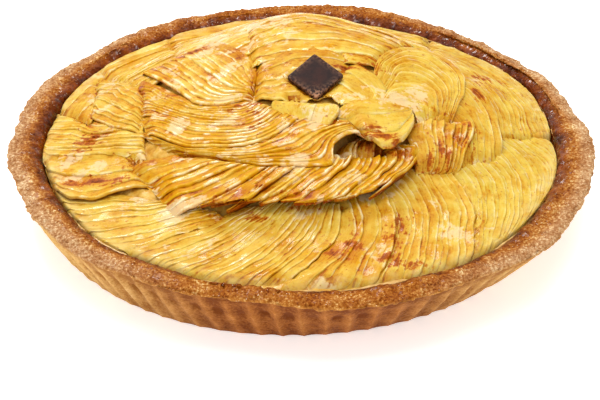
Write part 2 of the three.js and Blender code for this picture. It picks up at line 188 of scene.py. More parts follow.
# Whole numbers that mix a lattice point and a seed into a random value.
HASH_STEPS = np.array([73856093, 19349663, 83492791])
HASH_SEED = 2654435
HASH_MIX = 1274126177
HASH_MASK = 0xFFFFFFFF
OCTAVE_SHIFT = 17.3

CAMERA = {"lens": 90.0, "sensor": 36.0, "elevation": math.radians(31.67), "roll": math.radians(-1.607)}
CAMERA_PLACE = np.array([-0.145, -584.03, 353.27])
LIGHT_AIM = (0.0, 0.0, 0.03)  # in metres


def row_shift():
    """The row's origin is the middle of the tart's box, which the plaque's node locates."""
    low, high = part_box("chocolate_plaque")
    middle = (np.array(low) + np.array(high)) / 2 / MM
    return np.array([middle[0] - PLAQUE_PLACE[0], middle[1] - PLAQUE_PLACE[1], 0.0])


SHIFT = row_shift()


def to_row(points):
    """Tart millimetres to row metres."""
    return (np.asarray(points, float) + SHIFT) * MM


# ---------------- numbers and noise

def ripple(angle, terms):
    return sum(size * np.cos(waves * angle + phase) for waves, size, phase in terms)


def smooth_step(low, high, value):
    share = np.clip((value - low) / (high - low), 0, 1)
    return share * share * (3 - 2 * share)


def lattice_noise(points, seed):
    """Smooth noise from -1 to 1 with one swell per unit, for an array of 3-D points."""
    cell = np.floor(points).astype(np.int64)
    part = points - cell
    ease = part * part * (3 - 2 * part)
    total = np.zeros(len(points))
    for corner in np.ndindex(2, 2, 2):
        mixed = np.bitwise_xor.reduce((cell + corner) * HASH_STEPS, axis=1) ^ seed * HASH_SEED
        mixed = (mixed ^ (mixed >> 13)) * HASH_MIX & HASH_MASK
        mixed = mixed ^ (mixed >> 16)
        weight = np.prod(np.where(np.array(corner) == 1, ease, 1 - ease), axis=1)
        total += weight * ((mixed & 0xFFFF) / 32767.5 - 1)
    return total


def uneven(kind, x, y, z=0.0):
    """Layered noise of one kind at every place."""
    strength, size, octaves, seed = NOISE[kind]
    places = np.stack(np.broadcast_arrays(x, y, z), -1).astype(float)
    flat = places.reshape(-1, 3)
    total = np.zeros(len(flat))
    for octave in range(octaves):
        scaled = flat * (2 ** octave / size) + OCTAVE_SHIFT * octave
        total += lattice_noise(scaled, seed + octave) / 2 ** octave
    return strength * total.reshape(places.shape[:-1])


def spline(points, share):
    """Uniform Catmull-Rom curve through the points, which shares of 0 and 1 begin and end."""
    points = np.asarray(points, float)
    place = np.asarray(share, float) * (len(points) - 1)
    cell = np.clip(place.astype(int), 0, len(points) - 2)
    t = (place - cell)[..., None]
    before = points[np.maximum(cell - 1, 0)]
    start = points[cell]
    end = points[cell + 1]
    after = points[np.minimum(cell + 2, len(points) - 1)]
    leave = (end - before) / 2
    arrive = (after - start) / 2
    return ((2 * start - 2 * end + leave + arrive) * t ** 3
            + (-3 * start + 3 * end - 2 * leave - arrive) * t ** 2 + leave * t + start)


def rim_radius(angle):
    return CRUST["rim_radius"] + ripple(angle, RIM_RIPPLE)


def rim_height(angle):
    return CRUST["height"] - CRUST["rim_drop"] + ripple(angle, RIM_HEIGHT_RIPPLE)


def inner_radius(angle):
    return HEAP["edge_radius"] + ripple(angle, INNER_RIPPLE)


def gap_to_rim(x, y):
    """How far plan places lie inside the crust's inner edge."""
    return inner_radius(np.arctan2(y, x)) - np.hypot(x, y)


def front_rise(x, y):
    """1 at the front edge of the heap, and less behind it and to its sides."""
    radius = np.maximum(np.hypot(x, y), TINY)
    beyond = (radius - HEAP["edge_radius"]) / HEAP["front_reach"]
    return np.maximum(0, -y / radius) * np.exp(-beyond ** 2)


def heap_height(x, y):
    """Height of the heap of apples, before any fan's own rise."""
    offset = np.stack([x - SUMMIT[0], y - SUMMIT[1]], -1)
    run = np.maximum(np.linalg.norm(offset, axis=-1), TINY)
    along = (offset / run[..., None]) @ SUMMIT
    reach = -along + np.sqrt(along ** 2 - SUMMIT @ SUMMIT + HEAP["edge_radius"] ** 2)
    fall = np.maximum(0, 1 - (run / reach) ** 2)
    dome = HEAP["edge_height"] + HEAP["rise"] * fall ** HEAP["shoulder"]
    return dome + HEAP["front_fill"] * front_rise(x, y)


def heap_swell(x, y):
    """Broad swells of the heap, which die out at the plaque and at the rim."""
    from_plaque = np.hypot(x - PLAQUE_PLACE[0], y - PLAQUE_PLACE[1])
    fade = smooth_step(*SWELL["clear_of_plaque"], from_plaque)
    return uneven("heap_swell", x, y) * (fade * smooth_step(0, SWELL["clear_of_rim"], gap_to_rim(x, y)))


def hump(x, y, place_x, place_y, wide, deep):
    """A soft round hump that is 1 in its middle."""
    return np.exp(-(((x - place_x) / wide) ** 2 + ((y - place_y) / deep) ** 2))


def humps(x, y, places):
    """The sum of soft round humps (x, y, wide, deep, height)."""
    return sum(height * hump(x, y, *place) for *place, height in places)


def patches_at(x, y, patches):
    """The strongest of the soft round patches (x, y, wide, deep, strength) at each place."""
    amount = np.zeros_like(x)
    for *place, strength in patches:
        amount = np.maximum(amount, strength * hump(x, y, *place))
    return amount


def refined(grid, times):
    """A grid of points with "times" steps in place of each one."""
    for axis in (0, 1):
        steps = grid.shape[axis] - 1
        place = np.linspace(0, steps, steps * times + 1)
        low = np.minimum(place.astype(int), steps - 1)
        part = np.expand_dims(place - low, [i for i in range(grid.ndim) if i != axis])
        grid = np.take(grid, low, axis) * (1 - part) + np.take(grid, low + 1, axis) * part
    return grid


def ring_points(radius, angle, height):
    """Points at a radius, an angle and a height, which may each be an array or one number."""
    return np.stack(np.broadcast_arrays(radius * np.cos(angle), radius * np.sin(angle), height), -1)


# ---------------- meshes

def make_piece(name, points, faces, material, marks=None):
    """A mesh object from tart millimetres, riding on the tart, with its marks as attributes."""
    mesh = bpy.data.meshes.new(name)
    mesh.from_pydata(to_row(points).tolist(), [], faces)
    mesh.validate()
    for key, values in (marks or {}).items():
        values = np.asarray(values, np.float32)
        kind, field = ("FLOAT", "value") if values.ndim == 1 else ("FLOAT_VECTOR", "vector")
        mesh.attributes.new(key, kind, "POINT").data.foreach_set(field, values.ravel())
    mesh.polygons.foreach_set("use_smooth", [True] * len(mesh.polygons))
    mesh.materials.append(material)
    piece = bpy.data.objects.new(name, mesh)
    bpy.context.scene.collection.objects.link(piece)
    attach(piece, "root")
    return piece


def tube_faces(rings, around, start=0, capped=True):
    """Quads of a closed tube of rings, with a cap at each end unless it is left open."""
    ring, step = np.meshgrid(np.arange(rings - 1), np.arange(around), indexing="ij")
    here = start + ring * around + step
    beside = start + ring * around + (step + 1) % around
    quads = np.stack([here, beside, beside + around, here + around], -1).reshape(-1, 4).tolist()
    if not capped:
        return quads
    first = [start + i for i in reversed(range(around))]
    last = [start + (rings - 1) * around + i for i in range(around)]
    return quads + [first, last]


# ---------------- material helpers

def srgb(red, green, blue):
    """Linear colour from the 0 to 255 values seen on a screen."""
    def linear(value):
        value /= 255
        return value / 12.92 if value <= 0.04045 else ((value + 0.055) / 1.055) ** 2.4
    return linear(red), linear(green), linear(blue), 1.0


class Finish:
    """A small builder of one node material, in metres of object space."""

    def __init__(self, name):
        self.material = bpy.data.materials.new(name)
        self.material.use_nodes = True
        self.nodes = self.material.node_tree.nodes
        self.links = self.material.node_tree.links
        self.shader = self.nodes["Principled BSDF"]
        self.place = self.nodes.new("ShaderNodeTexCoord").outputs["Object"]

    def add(self, kind, inputs=None, **settings):
        node = self.nodes.new(kind)
        for key, value in settings.items():
            setattr(node, key, value)
        for key, value in (inputs or {}).items():
            self.feed(node.inputs[key], value)
        return node

    def feed(self, socket, value):
        if isinstance(value, bpy.types.NodeSocket):
            self.links.new(value, socket)
        else:
            socket.default_value = value

    def attribute(self, name):
        return self.add("ShaderNodeAttribute", attribute_name=name).outputs["Fac"]

    def noise(self, size, detail=3.0, roughness=0.55):
        """Noise from 0 to 1 with swells of "size" millimetres."""
        inputs = {"Vector": self.place, "Scale": 1 / (size * MM), "Detail": detail, "Roughness": roughness}
        return self.add("ShaderNodeTexNoise", inputs).outputs["Fac"]

    def streaks(self, name, long, wide):
        """Noise drawn out along a slice, by the attribute that holds its run and its width in mm."""
        run = self.add("ShaderNodeAttribute", attribute_name=name).outputs["Vector"]
        scale = (1 / long, 1 / wide, 1.0)
        place = self.add("ShaderNodeMapping", {"Vector": run, "Scale": scale}).outputs["Vector"]
        inputs = {"Vector": place, "Scale": 1.0, "Detail": 3.0, "Roughness": 0.6}
        return self.add("ShaderNodeTexNoise", inputs).outputs["Fac"]

    def cells(self, size):
        """Distance to the nearest of scattered points "size" millimetres apart."""
        inputs = {"Vector": self.place, "Scale": 1 / (size * MM)}
        return self.add("ShaderNodeTexVoronoi", inputs).outputs["Distance"]

    def math(self, operation, first, second, clamp=False):
        node = self.add("ShaderNodeMath", {0: first, 1: second}, operation=operation, use_clamp=clamp)
        return node.outputs[0]

    def sum(self, *values):
        total = values[0]
        for value in values[1:]:
            total = self.math("ADD", total, value)
        return total

    def times(self, *values):
        product = values[0]
        for value in values[1:]:
            product = self.math("MULTIPLY", product, value)
        return product

    def span(self, value, low, high, out_low=0.0, out_high=1.0):
        inputs = {"Value": value, "From Min": low, "From Max": high, "To Min": out_low, "To Max": out_high}
        return self.add("ShaderNodeMapRange", inputs).outputs["Result"]

    def ramp(self, value, stops):
        """Colours between stops of a position and the 0 to 255 values seen on a screen."""
        node = self.add("ShaderNodeValToRGB", {"Fac": value})
        elements = node.color_ramp.elements
        while len(elements) < len(stops):
            elements.new(1.0)
        for element, (position, *colour) in zip(elements, stops):
            element.position = position
            element.color = srgb(*colour)
        return node.outputs["Color"]

    def mix(self, share, first, second):
        node = self.add("ShaderNodeMix", data_type="RGBA")
        self.feed(node.inputs[0], share)
        self.feed(node.inputs[6], first)
        self.feed(node.inputs[7], second)
        return node.outputs[2]

    def bump(self, height, depth, strength=1.0, over=None):
        """Relief from a 0 to 1 height, "depth" millimetres deep."""
        inputs = {"Height": height, "Distance": depth * MM, "Strength": strength}
        node = self.add("ShaderNodeBump", inputs)
        if over is not None:
            self.feed(node.inputs["Normal"], over)
        return node.outputs["Normal"]

    def finish(self, colour, roughness, normal=None, **plain):
        self.feed(self.shader.inputs["Base Color"], colour)
        self.feed(self.shader.inputs["Roughness"], roughness)
        if normal is not None:
            self.feed(self.shader.inputs["Normal"], normal)
        for name, value in plain.items():
            self.feed(self.shader.inputs[name.replace("_", " ")], value)
        return self.material


# ---------------- apple finish

def apple_flesh(make, marks, mottle, grain, streak):
    """Cream to golden flesh by its warmth, darkened by painted shade in the fold and lightened by a painted
    highlight at the free edge.
    """
    painted_shading_strength = make.span(marks["warmth"], 0.1, 0.7, 0.5, 0.85)
    level = make.sum(
        # painted shade in the fold and a painted highlight at the free edge, stronger on golden flesh
        make.times(make.math("SUBTRACT", marks["edge"], 0.6), painted_shading_strength),
        0.51,
        make.span(mottle, 0.25, 0.75, -0.24, 0.2),
        make.span(streak, 0.3, 0.7, -0.24, 0.2),
        make.span(grain, 0.3, 0.7, -0.16, 0.16),
        make.times(marks["tone"], 0.1),
    )
    cream = make.ramp(level, [
        (0.0, 176, 104, 6), (0.12, 204, 146, 28), (0.3, 213, 173, 58),
        (0.6, 220, 188, 84), (0.8, 229, 202, 114), (1.0, 244, 225, 162),
    ])
    golden = make.ramp(level, [
        (0.0, 138, 58, 0), (0.12, 170, 92, 0), (0.3, 194, 124, 0),
        (0.6, 207, 148, 2), (0.8, 218, 168, 34), (1.0, 240, 204, 104),
    ])
    drift = make.span(make.noise(13.0, 5), 0.32, 0.68, -0.55, 0.55)
    return make.mix(make.math("ADD", marks["warmth"], drift, clamp=True), cream, golden)


def brown_specks(make, colour, grain):
    """Small brown specks, in patches."""
    speck = make.times(make.span(grain, 0.52, 0.68), make.span(make.noise(8.0, 3), 0.42, 0.6))
    return make.mix(make.times(speck, 0.75), colour, srgb(164, 84, 2))


def glaze_clouds_and_sheen(make, colour, marks, streak):
    """Cream-white clouds that stand partly for set glaze and partly for painted reflections of the lights
    on the wet glaze, least in the folds.
    """
    cloud = make.sum(
        make.times(marks["glaze_sheen"], 0.65),
        make.span(make.noise(10.0, 5), 0.3, 0.75, -0.5, 0.45),
        make.span(make.noise(3.0, 4, 0.65), 0.35, 0.65, -0.22, 0.2),
        make.span(streak, 0.3, 0.7, -0.14, 0.14),
    )
    cloud = make.times(make.span(cloud, 0.22, 0.4), make.span(marks["edge"], 0.0, 0.3, 0.4, 0.9))
    return make.mix(make.times(cloud, 0.7), colour, srgb(230, 204, 158))


def painted_edge_glints(make, colour, marks):
    """Painted highlights: short stretches of the free edges turned almost white, most of all on golden
    flesh.
    """
    glint = make.times(
        make.span(marks["edge"], 0.72, 0.95),
        make.span(make.noise(7.0, 4), 0.5, 0.62),
        make.span(marks["warmth"], 0.4, 0.8, 0.45, 1.3),
    )
    return make.mix(make.times(glint, 0.6), colour, srgb(250, 236, 192))


def rim_film(make, colour, marks):
    """The dull film of glaze on the apples next to the crust."""
    film = make.times(marks["film"], make.span(make.noise(5.0, 4), 0.4, 0.62, 0.1, 0.75))
    return make.mix(film, colour, srgb(222, 194, 118))


def toast_level(make, marks, mottle, grain, streak):
    """How far each place is browned, from 0 to 1."""
    burn = make.sum(
        marks["toast"],
        make.span(mottle, 0.25, 0.75, -0.35, 0.35),
        make.span(grain, 0.25, 0.75, -0.3, 0.3),
        make.span(streak, 0.3, 0.7, -0.3, 0.3),
        make.times(marks["edge"], -0.2),
    )
    return make.span(burn, 0.2, 1.15)


def toasted(make, colour, burn):
    """The colour browned by the oven, from amber to almost black."""
    brown = make.ramp(burn, [
        (0.0, 196, 116, 4), (0.35, 170, 84, 0), (0.7, 122, 52, 0), (1.0, 74, 26, 0),
    ])
    return make.mix(make.span(burn, 0.0, 0.3), colour, brown)


def wet_coat(make, marks, burn):
    """Patches of wet shine on the free edges, dull where they are browned."""
    wet = make.span(make.noise(7.0, 4), 0.5, 0.62, 0.0, 0.6)
    unburnt = make.span(burn, 0.2, 0.8, 1.0, 0.2)
    return make.times(wet, unburnt, make.span(marks["edge"], 0.2, 0.8, 0.1, 1.0))


def apple_finish():
    """Glazed baked apple: yellow on the treads, amber painted shade in the folds, a cream painted highlight
    at the free edges.
    """
    make = Finish("glazed_apple")
    marks = {key: make.attribute(key) for key in ("edge", "tone", "warmth", "toast", "film", "glaze_sheen")}
    mottle = make.noise(4.5, 4)
    grain = make.noise(1.5, 4, 0.7)
    streak = make.streaks("run", 11.0, 1.5)
    colour = apple_flesh(make, marks, mottle, grain, streak)
    colour = brown_specks(make, colour, grain)
    colour = glaze_clouds_and_sheen(make, colour, marks, streak)
    colour = painted_edge_glints(make, colour, marks)
    colour = rim_film(make, colour, marks)
    burn = toast_level(make, marks, mottle, grain, streak)
    colour = toasted(make, colour, burn)
    normal = make.bump(streak, 0.3, 0.5, over=make.bump(grain, 0.22, 0.5))
    roughness = make.span(make.noise(6.0, 2), 0.35, 0.65, 0.35, 0.6)
    return make.finish(
        colour, roughness, normal, Specular_IOR_Level=0.08, Subsurface_Weight=0.1,
        Subsurface_Radius=(0.003, 0.0014, 0.0004), Subsurface_Scale=1.0,
        Coat_Weight=wet_coat(make, marks, burn), Coat_Roughness=0.08,
    )


# ---------------- the other finishes

def bed_finish():
    """The soft cooked apple under the fans, darkened by painted shade in its hollows."""
    make = Finish("cooked_apple_bed")
    mottle = make.noise(4.0, 4)
    colour = make.ramp(mottle, [(0.3, 184, 120, 24), (0.5, 210, 160, 58), (0.72, 224, 188, 104)])
    # painted shade in the hollows under the lifted slices
    colour = make.mix(make.attribute("deep"), colour, srgb(92, 34, 4))
    return make.finish(
        colour, 0.5, make.bump(mottle, 1.2),
        Coat_Weight=0.2, Coat_Roughness=0.15, Specular_IOR_Level=0.15,
    )


def crust_side(make, marks, patch, grain):
    """The fluted side, with painted shade in its grooves, its pits and under the rim, and painted light
    making it paler to the left and right than in front and behind.
    """
    level = make.sum(
        make.span(patch, 0.3, 0.7, 0.4, 0.85),
        make.times(marks["groove"], -0.55),
        make.span(grain, 0.3, 0.7, -0.25, 0.25),
    )
    # a shaded copy of the colour for the front and back and a lit copy for the left and right, as painted
    # light
    dark = make.ramp(level, [
        (0.0, 112, 54, 10), (0.4, 156, 92, 38), (0.7, 180, 114, 52), (1.0, 204, 142, 76),
    ])
    pale = make.ramp(level, [
        (0.0, 164, 108, 46), (0.4, 202, 156, 88), (0.7, 218, 178, 110), (1.0, 238, 208, 150),
    ])
    return make.mix(marks["pale"], dark, pale)


def crust_top(make, marks, patch, grain):
    """The granular rim, its outer part painted lighter to the left and right, as the side is."""
    crumbs = make.sum(
        make.times(patch, 0.4), make.times(grain, 0.75),
        make.times(marks["inner"], -0.08), make.times(marks["pale"], 0.03),
    )
    brown = make.ramp(crumbs, [
        (0.42, 90, 32, 0), (0.5, 132, 62, 0), (0.57, 158, 86, 10),
        (0.64, 180, 112, 36), (0.7, 210, 158, 86), (0.76, 244, 216, 152),
    ])
    outer = make.ramp(crumbs, [
        (0.42, 116, 62, 26), (0.52, 156, 102, 56), (0.6, 180, 130, 84),
        (0.68, 206, 164, 118), (0.76, 242, 216, 172),
    ])
    # painted light on the outer rim to the left and right
    share = make.times(marks["outer_rim"], make.span(marks["pale"], 0.1, 0.8, 0.1, 1.0))
    return make.mix(share, brown, outer)


def crust_caramel(make, patch, grain):
    """The dark glazed crust towards the apples."""
    level = make.sum(make.times(patch, 0.8), make.times(grain, 0.25))
    return make.ramp(level, [(0.38, 50, 14, 0), (0.54, 104, 40, 0), (0.72, 164, 80, 4)])


def painted_rim_glints(make, colour, marks):
    """Painted highlights: tiny near-white specks scattered over the rim for the glints on its crumbs."""
    grains = make.span(make.cells(1.3), 0.16, 0.1)
    sparkle = make.times(grains, make.span(make.noise(4.0, 3), 0.5, 0.6), marks["rim"], 0.9)
    return make.mix(sparkle, colour, srgb(255, 238, 206))


def crust_finish():
    """Shortcrust: golden on the side, granular brown on the rim, caramel towards the apples."""
    make = Finish("baked_shortcrust")
    marks = {key: make.attribute(key) for key in ("rim", "inner", "lip", "groove", "outer_rim", "pale")}
    grain = make.noise(1.1, 4, 0.7)
    patch = make.noise(9.0, 5, 0.6)
    side = crust_side(make, marks, patch, grain)
    colour = make.mix(marks["rim"], side, crust_top(make, marks, patch, grain))
    colour = make.mix(marks["inner"], colour, crust_caramel(make, patch, grain))
    colour = make.mix(make.times(marks["lip"], 0.45), colour, srgb(226, 164, 76))
    colour = painted_rim_glints(make, colour, marks)
    fine = make.bump(grain, 0.6, 0.8)
    normal = make.bump(make.cells(1.5), 0.6, make.times(marks["rim"], 0.7), over=fine)
    roughness = make.sum(make.span(grain, 0.2, 0.8, 0.85, 0.6), make.times(marks["inner"], -0.4))
    shiny = make.math("MAXIMUM", marks["inner"], make.times(marks["rim"], 0.15))
    coat = make.times(shiny, make.span(make.noise(3.5, 4, 0.65), 0.48, 0.6))
    return make.finish(
        colour, roughness, normal, Coat_Weight=coat, Coat_Roughness=0.08, Specular_IOR_Level=0.08,
    )


def glaze_finish():
    """Set apricot glaze: cloudy amber and a little shiny."""
    make = Finish("set_glaze")
    cloud = make.noise(3.0, 3)
    colour = make.ramp(cloud, [(0.3, 186, 132, 58), (0.7, 218, 178, 108)])
    return make.finish(
        colour, 0.35, make.bump(cloud, 0.6),
        Coat_Weight=0.3, Coat_Roughness=0.1, Specular_IOR_Level=0.2,
    )


def chocolate_finish():
    """Dark chocolate with a faint bloom and scuffed edges."""
    make = Finish("dark_chocolate")
    cloud = make.noise(4.0, 4)
    colour = make.ramp(cloud, [(0.35, 34, 14, 10), (0.7, 58, 32, 26)])
    worn = make.times(make.attribute("scuff"), make.span(make.noise(1.2, 2), 0.42, 0.6))
    colour = make.mix(worn, colour, srgb(176, 126, 92))
    roughness = make.span(cloud, 0.3, 0.7, 0.45, 0.65)
    return make.finish(colour, roughness, make.bump(make.noise(0.8, 2), 0.08), Specular_IOR_Level=0.15)


def floor_finish():
    make = Finish("pale_floor")
    colour = make.mix(make.noise(60.0, 2), (0.96, 0.96, 0.96, 1), (0.99, 0.99, 0.99, 1))
    return make.finish(colour, 0.8, Emission_Color=(1.0, 1.0, 1.0, 1.0), Emission_Strength=0.5)


# ---------------- crust

def flute_profile(angle):
    """1 on the narrow ridges between flutes and -1 in their wide hollows."""
    turn = angle * CRUST["flutes"] / TAU
    return 1 - 2 * np.abs(np.sin(math.pi * turn)) ** 0.8


def side_radius(angle, level):
    """The fluted side, whose flutes fade out towards the base (level 0) and the rim (level 1)."""
    top = rim_radius(angle) - CRUST["edge_overhang"]
    depth = CRUST["flute_depth"] * (0.1 + 0.9 * np.sin(math.pi * min(1.0, 0.12 + 0.8 * level)))
    strength = 1 + ripple(angle, FLUTE_RIPPLE)
    hollow = 0.5 * depth * flute_profile(angle) * strength
    slant = (top - CRUST["base_radius"]) * level ** CRUST["side_bow"]
    return CRUST["base_radius"] + slant + hollow


def crust_section(angle):
    """The section's corners for every angle, from the base over the rim to the inner floor.

    Each is a radius, a height and marks: how far it is rim, inner wall, lip and outer rim, and
    its level up the side. The corners of the rim count in mm from its edges and from its top.
    """
    outer = rim_radius(angle)
    top = rim_height(angle)
    inner = inner_radius(angle)
    even = np.zeros_like(angle)
    edge_x, edge_y = outer * np.cos(angle), outer * np.sin(angle)
    ragged = uneven("rim_ragged", edge_x, edge_y)
    swell = uneven("rim_swell", edge_x, edge_y)
    corners = []

    def corner(radius, height, rim=1.0, wall=0.0, lip=0.0, outer_rim=0.0, level=1.0):
        corners.append((radius + even, height + even, rim, wall, lip, outer_rim, level))

    for level in np.linspace(0, 1, CRUST["side_levels"]):
        corner(side_radius(angle, level), level * (top - CRUST["edge_drop"]), rim=0.0, level=level)
    corner(outer - 0.5 + 0.3 * ragged, top - 1.9 + 0.4 * ragged, rim=0.4, lip=1.0, outer_rim=1.0)
    corner(outer + 0.1 + 0.4 * ragged, top - 1.3 + 0.3 * ragged, rim=0.9, lip=0.6, outer_rim=1.0)
    corner(outer - 0.6 + 0.3 * swell, top - 0.5, outer_rim=1.0)
    corner(outer - 2.0 + 0.3 * swell, top, outer_rim=1.0)
    corner(outer - 4.5, top + 0.3 + 0.3 * swell, outer_rim=0.8)
    corner(outer - 7.5, top + 0.3 + 0.5 * swell, outer_rim=0.2)
    corner(inner + 5.0, top - 0.2 + 0.3 * swell, wall=0.35)
    corner(inner + 2.6, top - 1.4, wall=0.8)
    corner(inner + 0.8, top - 3.2, wall=1.0)
    corner(inner - 0.2, HEAP["edge_height"] - 2.0, wall=1.0)
    corner(inner - 2.0, CRUST["inner_bend"], wall=1.0)
    corner(CRUST["base_radius"] - CRUST["wall_foot"], CRUST["floor"], wall=1.0)
    return corners


def crust_rings():
    """The angles, and the section's corners joined by smooth curves as seven arrays of rings."""
    angle = np.arange(CRUST["samples"]) * TAU / CRUST["samples"]
    corners = crust_section(angle)
    share = np.linspace(0, 1, 3 * (len(corners) - 1) + 1)
    columns = zip(*corners)
    return angle, [spline([np.broadcast_to(v, angle.shape) for v in column], share) for column in columns]


def side_pits(angle, level, hollow):
    """Pits part way up the side, in the middle of some of the flutes' hollows."""
    number = np.floor(angle * CRUST["flutes"] / TAU) + 0.5
    odd = lattice_noise(np.stack([number, 0 * number + 0.5, 0 * number + 0.5], -1), PIT["seed"])
    band = np.exp(-((level - PIT["level"]) / PIT["spread"]) ** 2)
    return band * smooth_step(0.7, 1.0, hollow) * np.clip(0.4 + 1.4 * odd, 0, 1.3)


def crumb_relief(grain, lumps, cracks, top):
    """Relief of the crumb in mm, deepest on the rim's top."""
    on_side, on_top = CRUMB["grain"]
    relief = grain * (on_side + on_top * top)
    on_side, on_top = CRUMB["lumps"]
    relief += lumps * (on_side + on_top * top)
    return relief - CRUMB["crack"] * top * smooth_step(CRUMB["crack_width"], 0.0, cracks)


def crust_faces(rings, around):
    """The skin of rings, closed by fans round a middle point below and one on the inner floor."""
    faces = tube_faces(rings, around, capped=False)
    below, above = rings * around, rings * around + 1
    last = (rings - 1) * around
    for i in range(around):
        j = (i + 1) % around
        faces.append([below, j, i])
        faces.append([above, last + i, last + j])
    return faces


def dress_crust():
    angle, (radius, height, rim, wall, lip, outer_rim, level) = crust_rings()
    along_radius = np.gradient(radius, axis=0)
    along_height = np.gradient(height, axis=0)
    length = np.hypot(along_radius, along_height) + 1e-9
    turned = angle + CRUST["flute_lean"] * level * np.sin(angle)
    x, y = radius * np.cos(turned), radius * np.sin(turned)
    grain = uneven("crust_grain", x, y, height)
    lumps = uneven("crust_lumps", x, y, height)
    cracks = np.abs(uneven("crust_cracks", x, y, 2 * height))
    hollow = (1 - flute_profile(angle)) / 2
    pit = side_pits(angle, level, hollow)
    push = crumb_relief(grain, lumps, cracks, rim * (1 - 0.6 * wall))
    push -= PIT["depth"] * pit * (1 - rim)
    push *= smooth_step(0.0, 0.03, level)
    radius = radius + push * along_height / length
    height = np.maximum(height - push * along_radius / length, 0.0)
    points = ring_points(radius, turned, height).reshape(-1, 3)
    points = np.concatenate([points, [[0, 0, 0], [0, 0, CRUST["floor"]]]])
    under_rim_shade = 0.5 * smooth_step(0.72, 0.98, level)
    marks = {
        "rim": rim,
        "inner": wall,
        "lip": lip * (0.7 + 0.5 * grain),
        # painted shade in the flutes' hollows, in the pits and under the rim
        "groove": (1 - rim) * (0.8 * hollow + 1.3 * pit + under_rim_shade),
        "outer_rim": outer_rim,
        # painted light: paler to the left and right
        "pale": smooth_step(0.2, 0.8, np.abs(np.cos(angle))) + 0 * rim,
    }
    middle_points = [0.0, 0.0]
    marks = {key: np.append(values.ravel(), middle_points) for key, values in marks.items()}
    faces = crust_faces(*rim.shape)
    piece = make_piece("crust_shell", points, faces, crust_finish(), marks)
    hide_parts("crust")


# ---------------- the ceiling over lower fans

class Ceiling:
    """For each place in plan, the underside of what lies above it. Lower slices stay below."""

    step = 1.0  # size of a cell in mm
    reach = 125  # half the square that the cells cover
    slope = 0.7  # how steeply a piece's underside is carried on past its outline
    spread = 4  # for how many cells

    def __init__(self):
        count = int(2 * self.reach / self.step) + 1
        self.height = np.full((count, count), np.inf)

    def cells(self, x, y):
        limit = self.height.shape[0] - 1
        i = np.clip(np.round((x + self.reach) / self.step), 0, limit).astype(int)
        j = np.clip(np.round((y + self.reach) / self.step), 0, limit).astype(int)
        return i, j

    def cover(self, points):
        """Adds a piece's underside, sampled about once a cell or closer."""
        fresh = np.full_like(self.height, np.inf)
        np.minimum.at(fresh, self.cells(points[:, 0], points[:, 1]), points[:, 2])
        rise = self.slope * self.step
        for _ in range(self.spread):
            grown = fresh.copy()
            grown[1:] = np.minimum(grown[1:], fresh[:-1] + rise)
            grown[:-1] = np.minimum(grown[:-1], fresh[1:] + rise)
            grown[:, 1:] = np.minimum(grown[:, 1:], fresh[:, :-1] + rise)
            grown[:, :-1] = np.minimum(grown[:, :-1], fresh[:, 1:] + rise)
            fresh = grown
        self.height = np.minimum(self.height, fresh)

    def over(self, x, y):
        return self.height[self.cells(x, y)]


# ---------------- apple fans

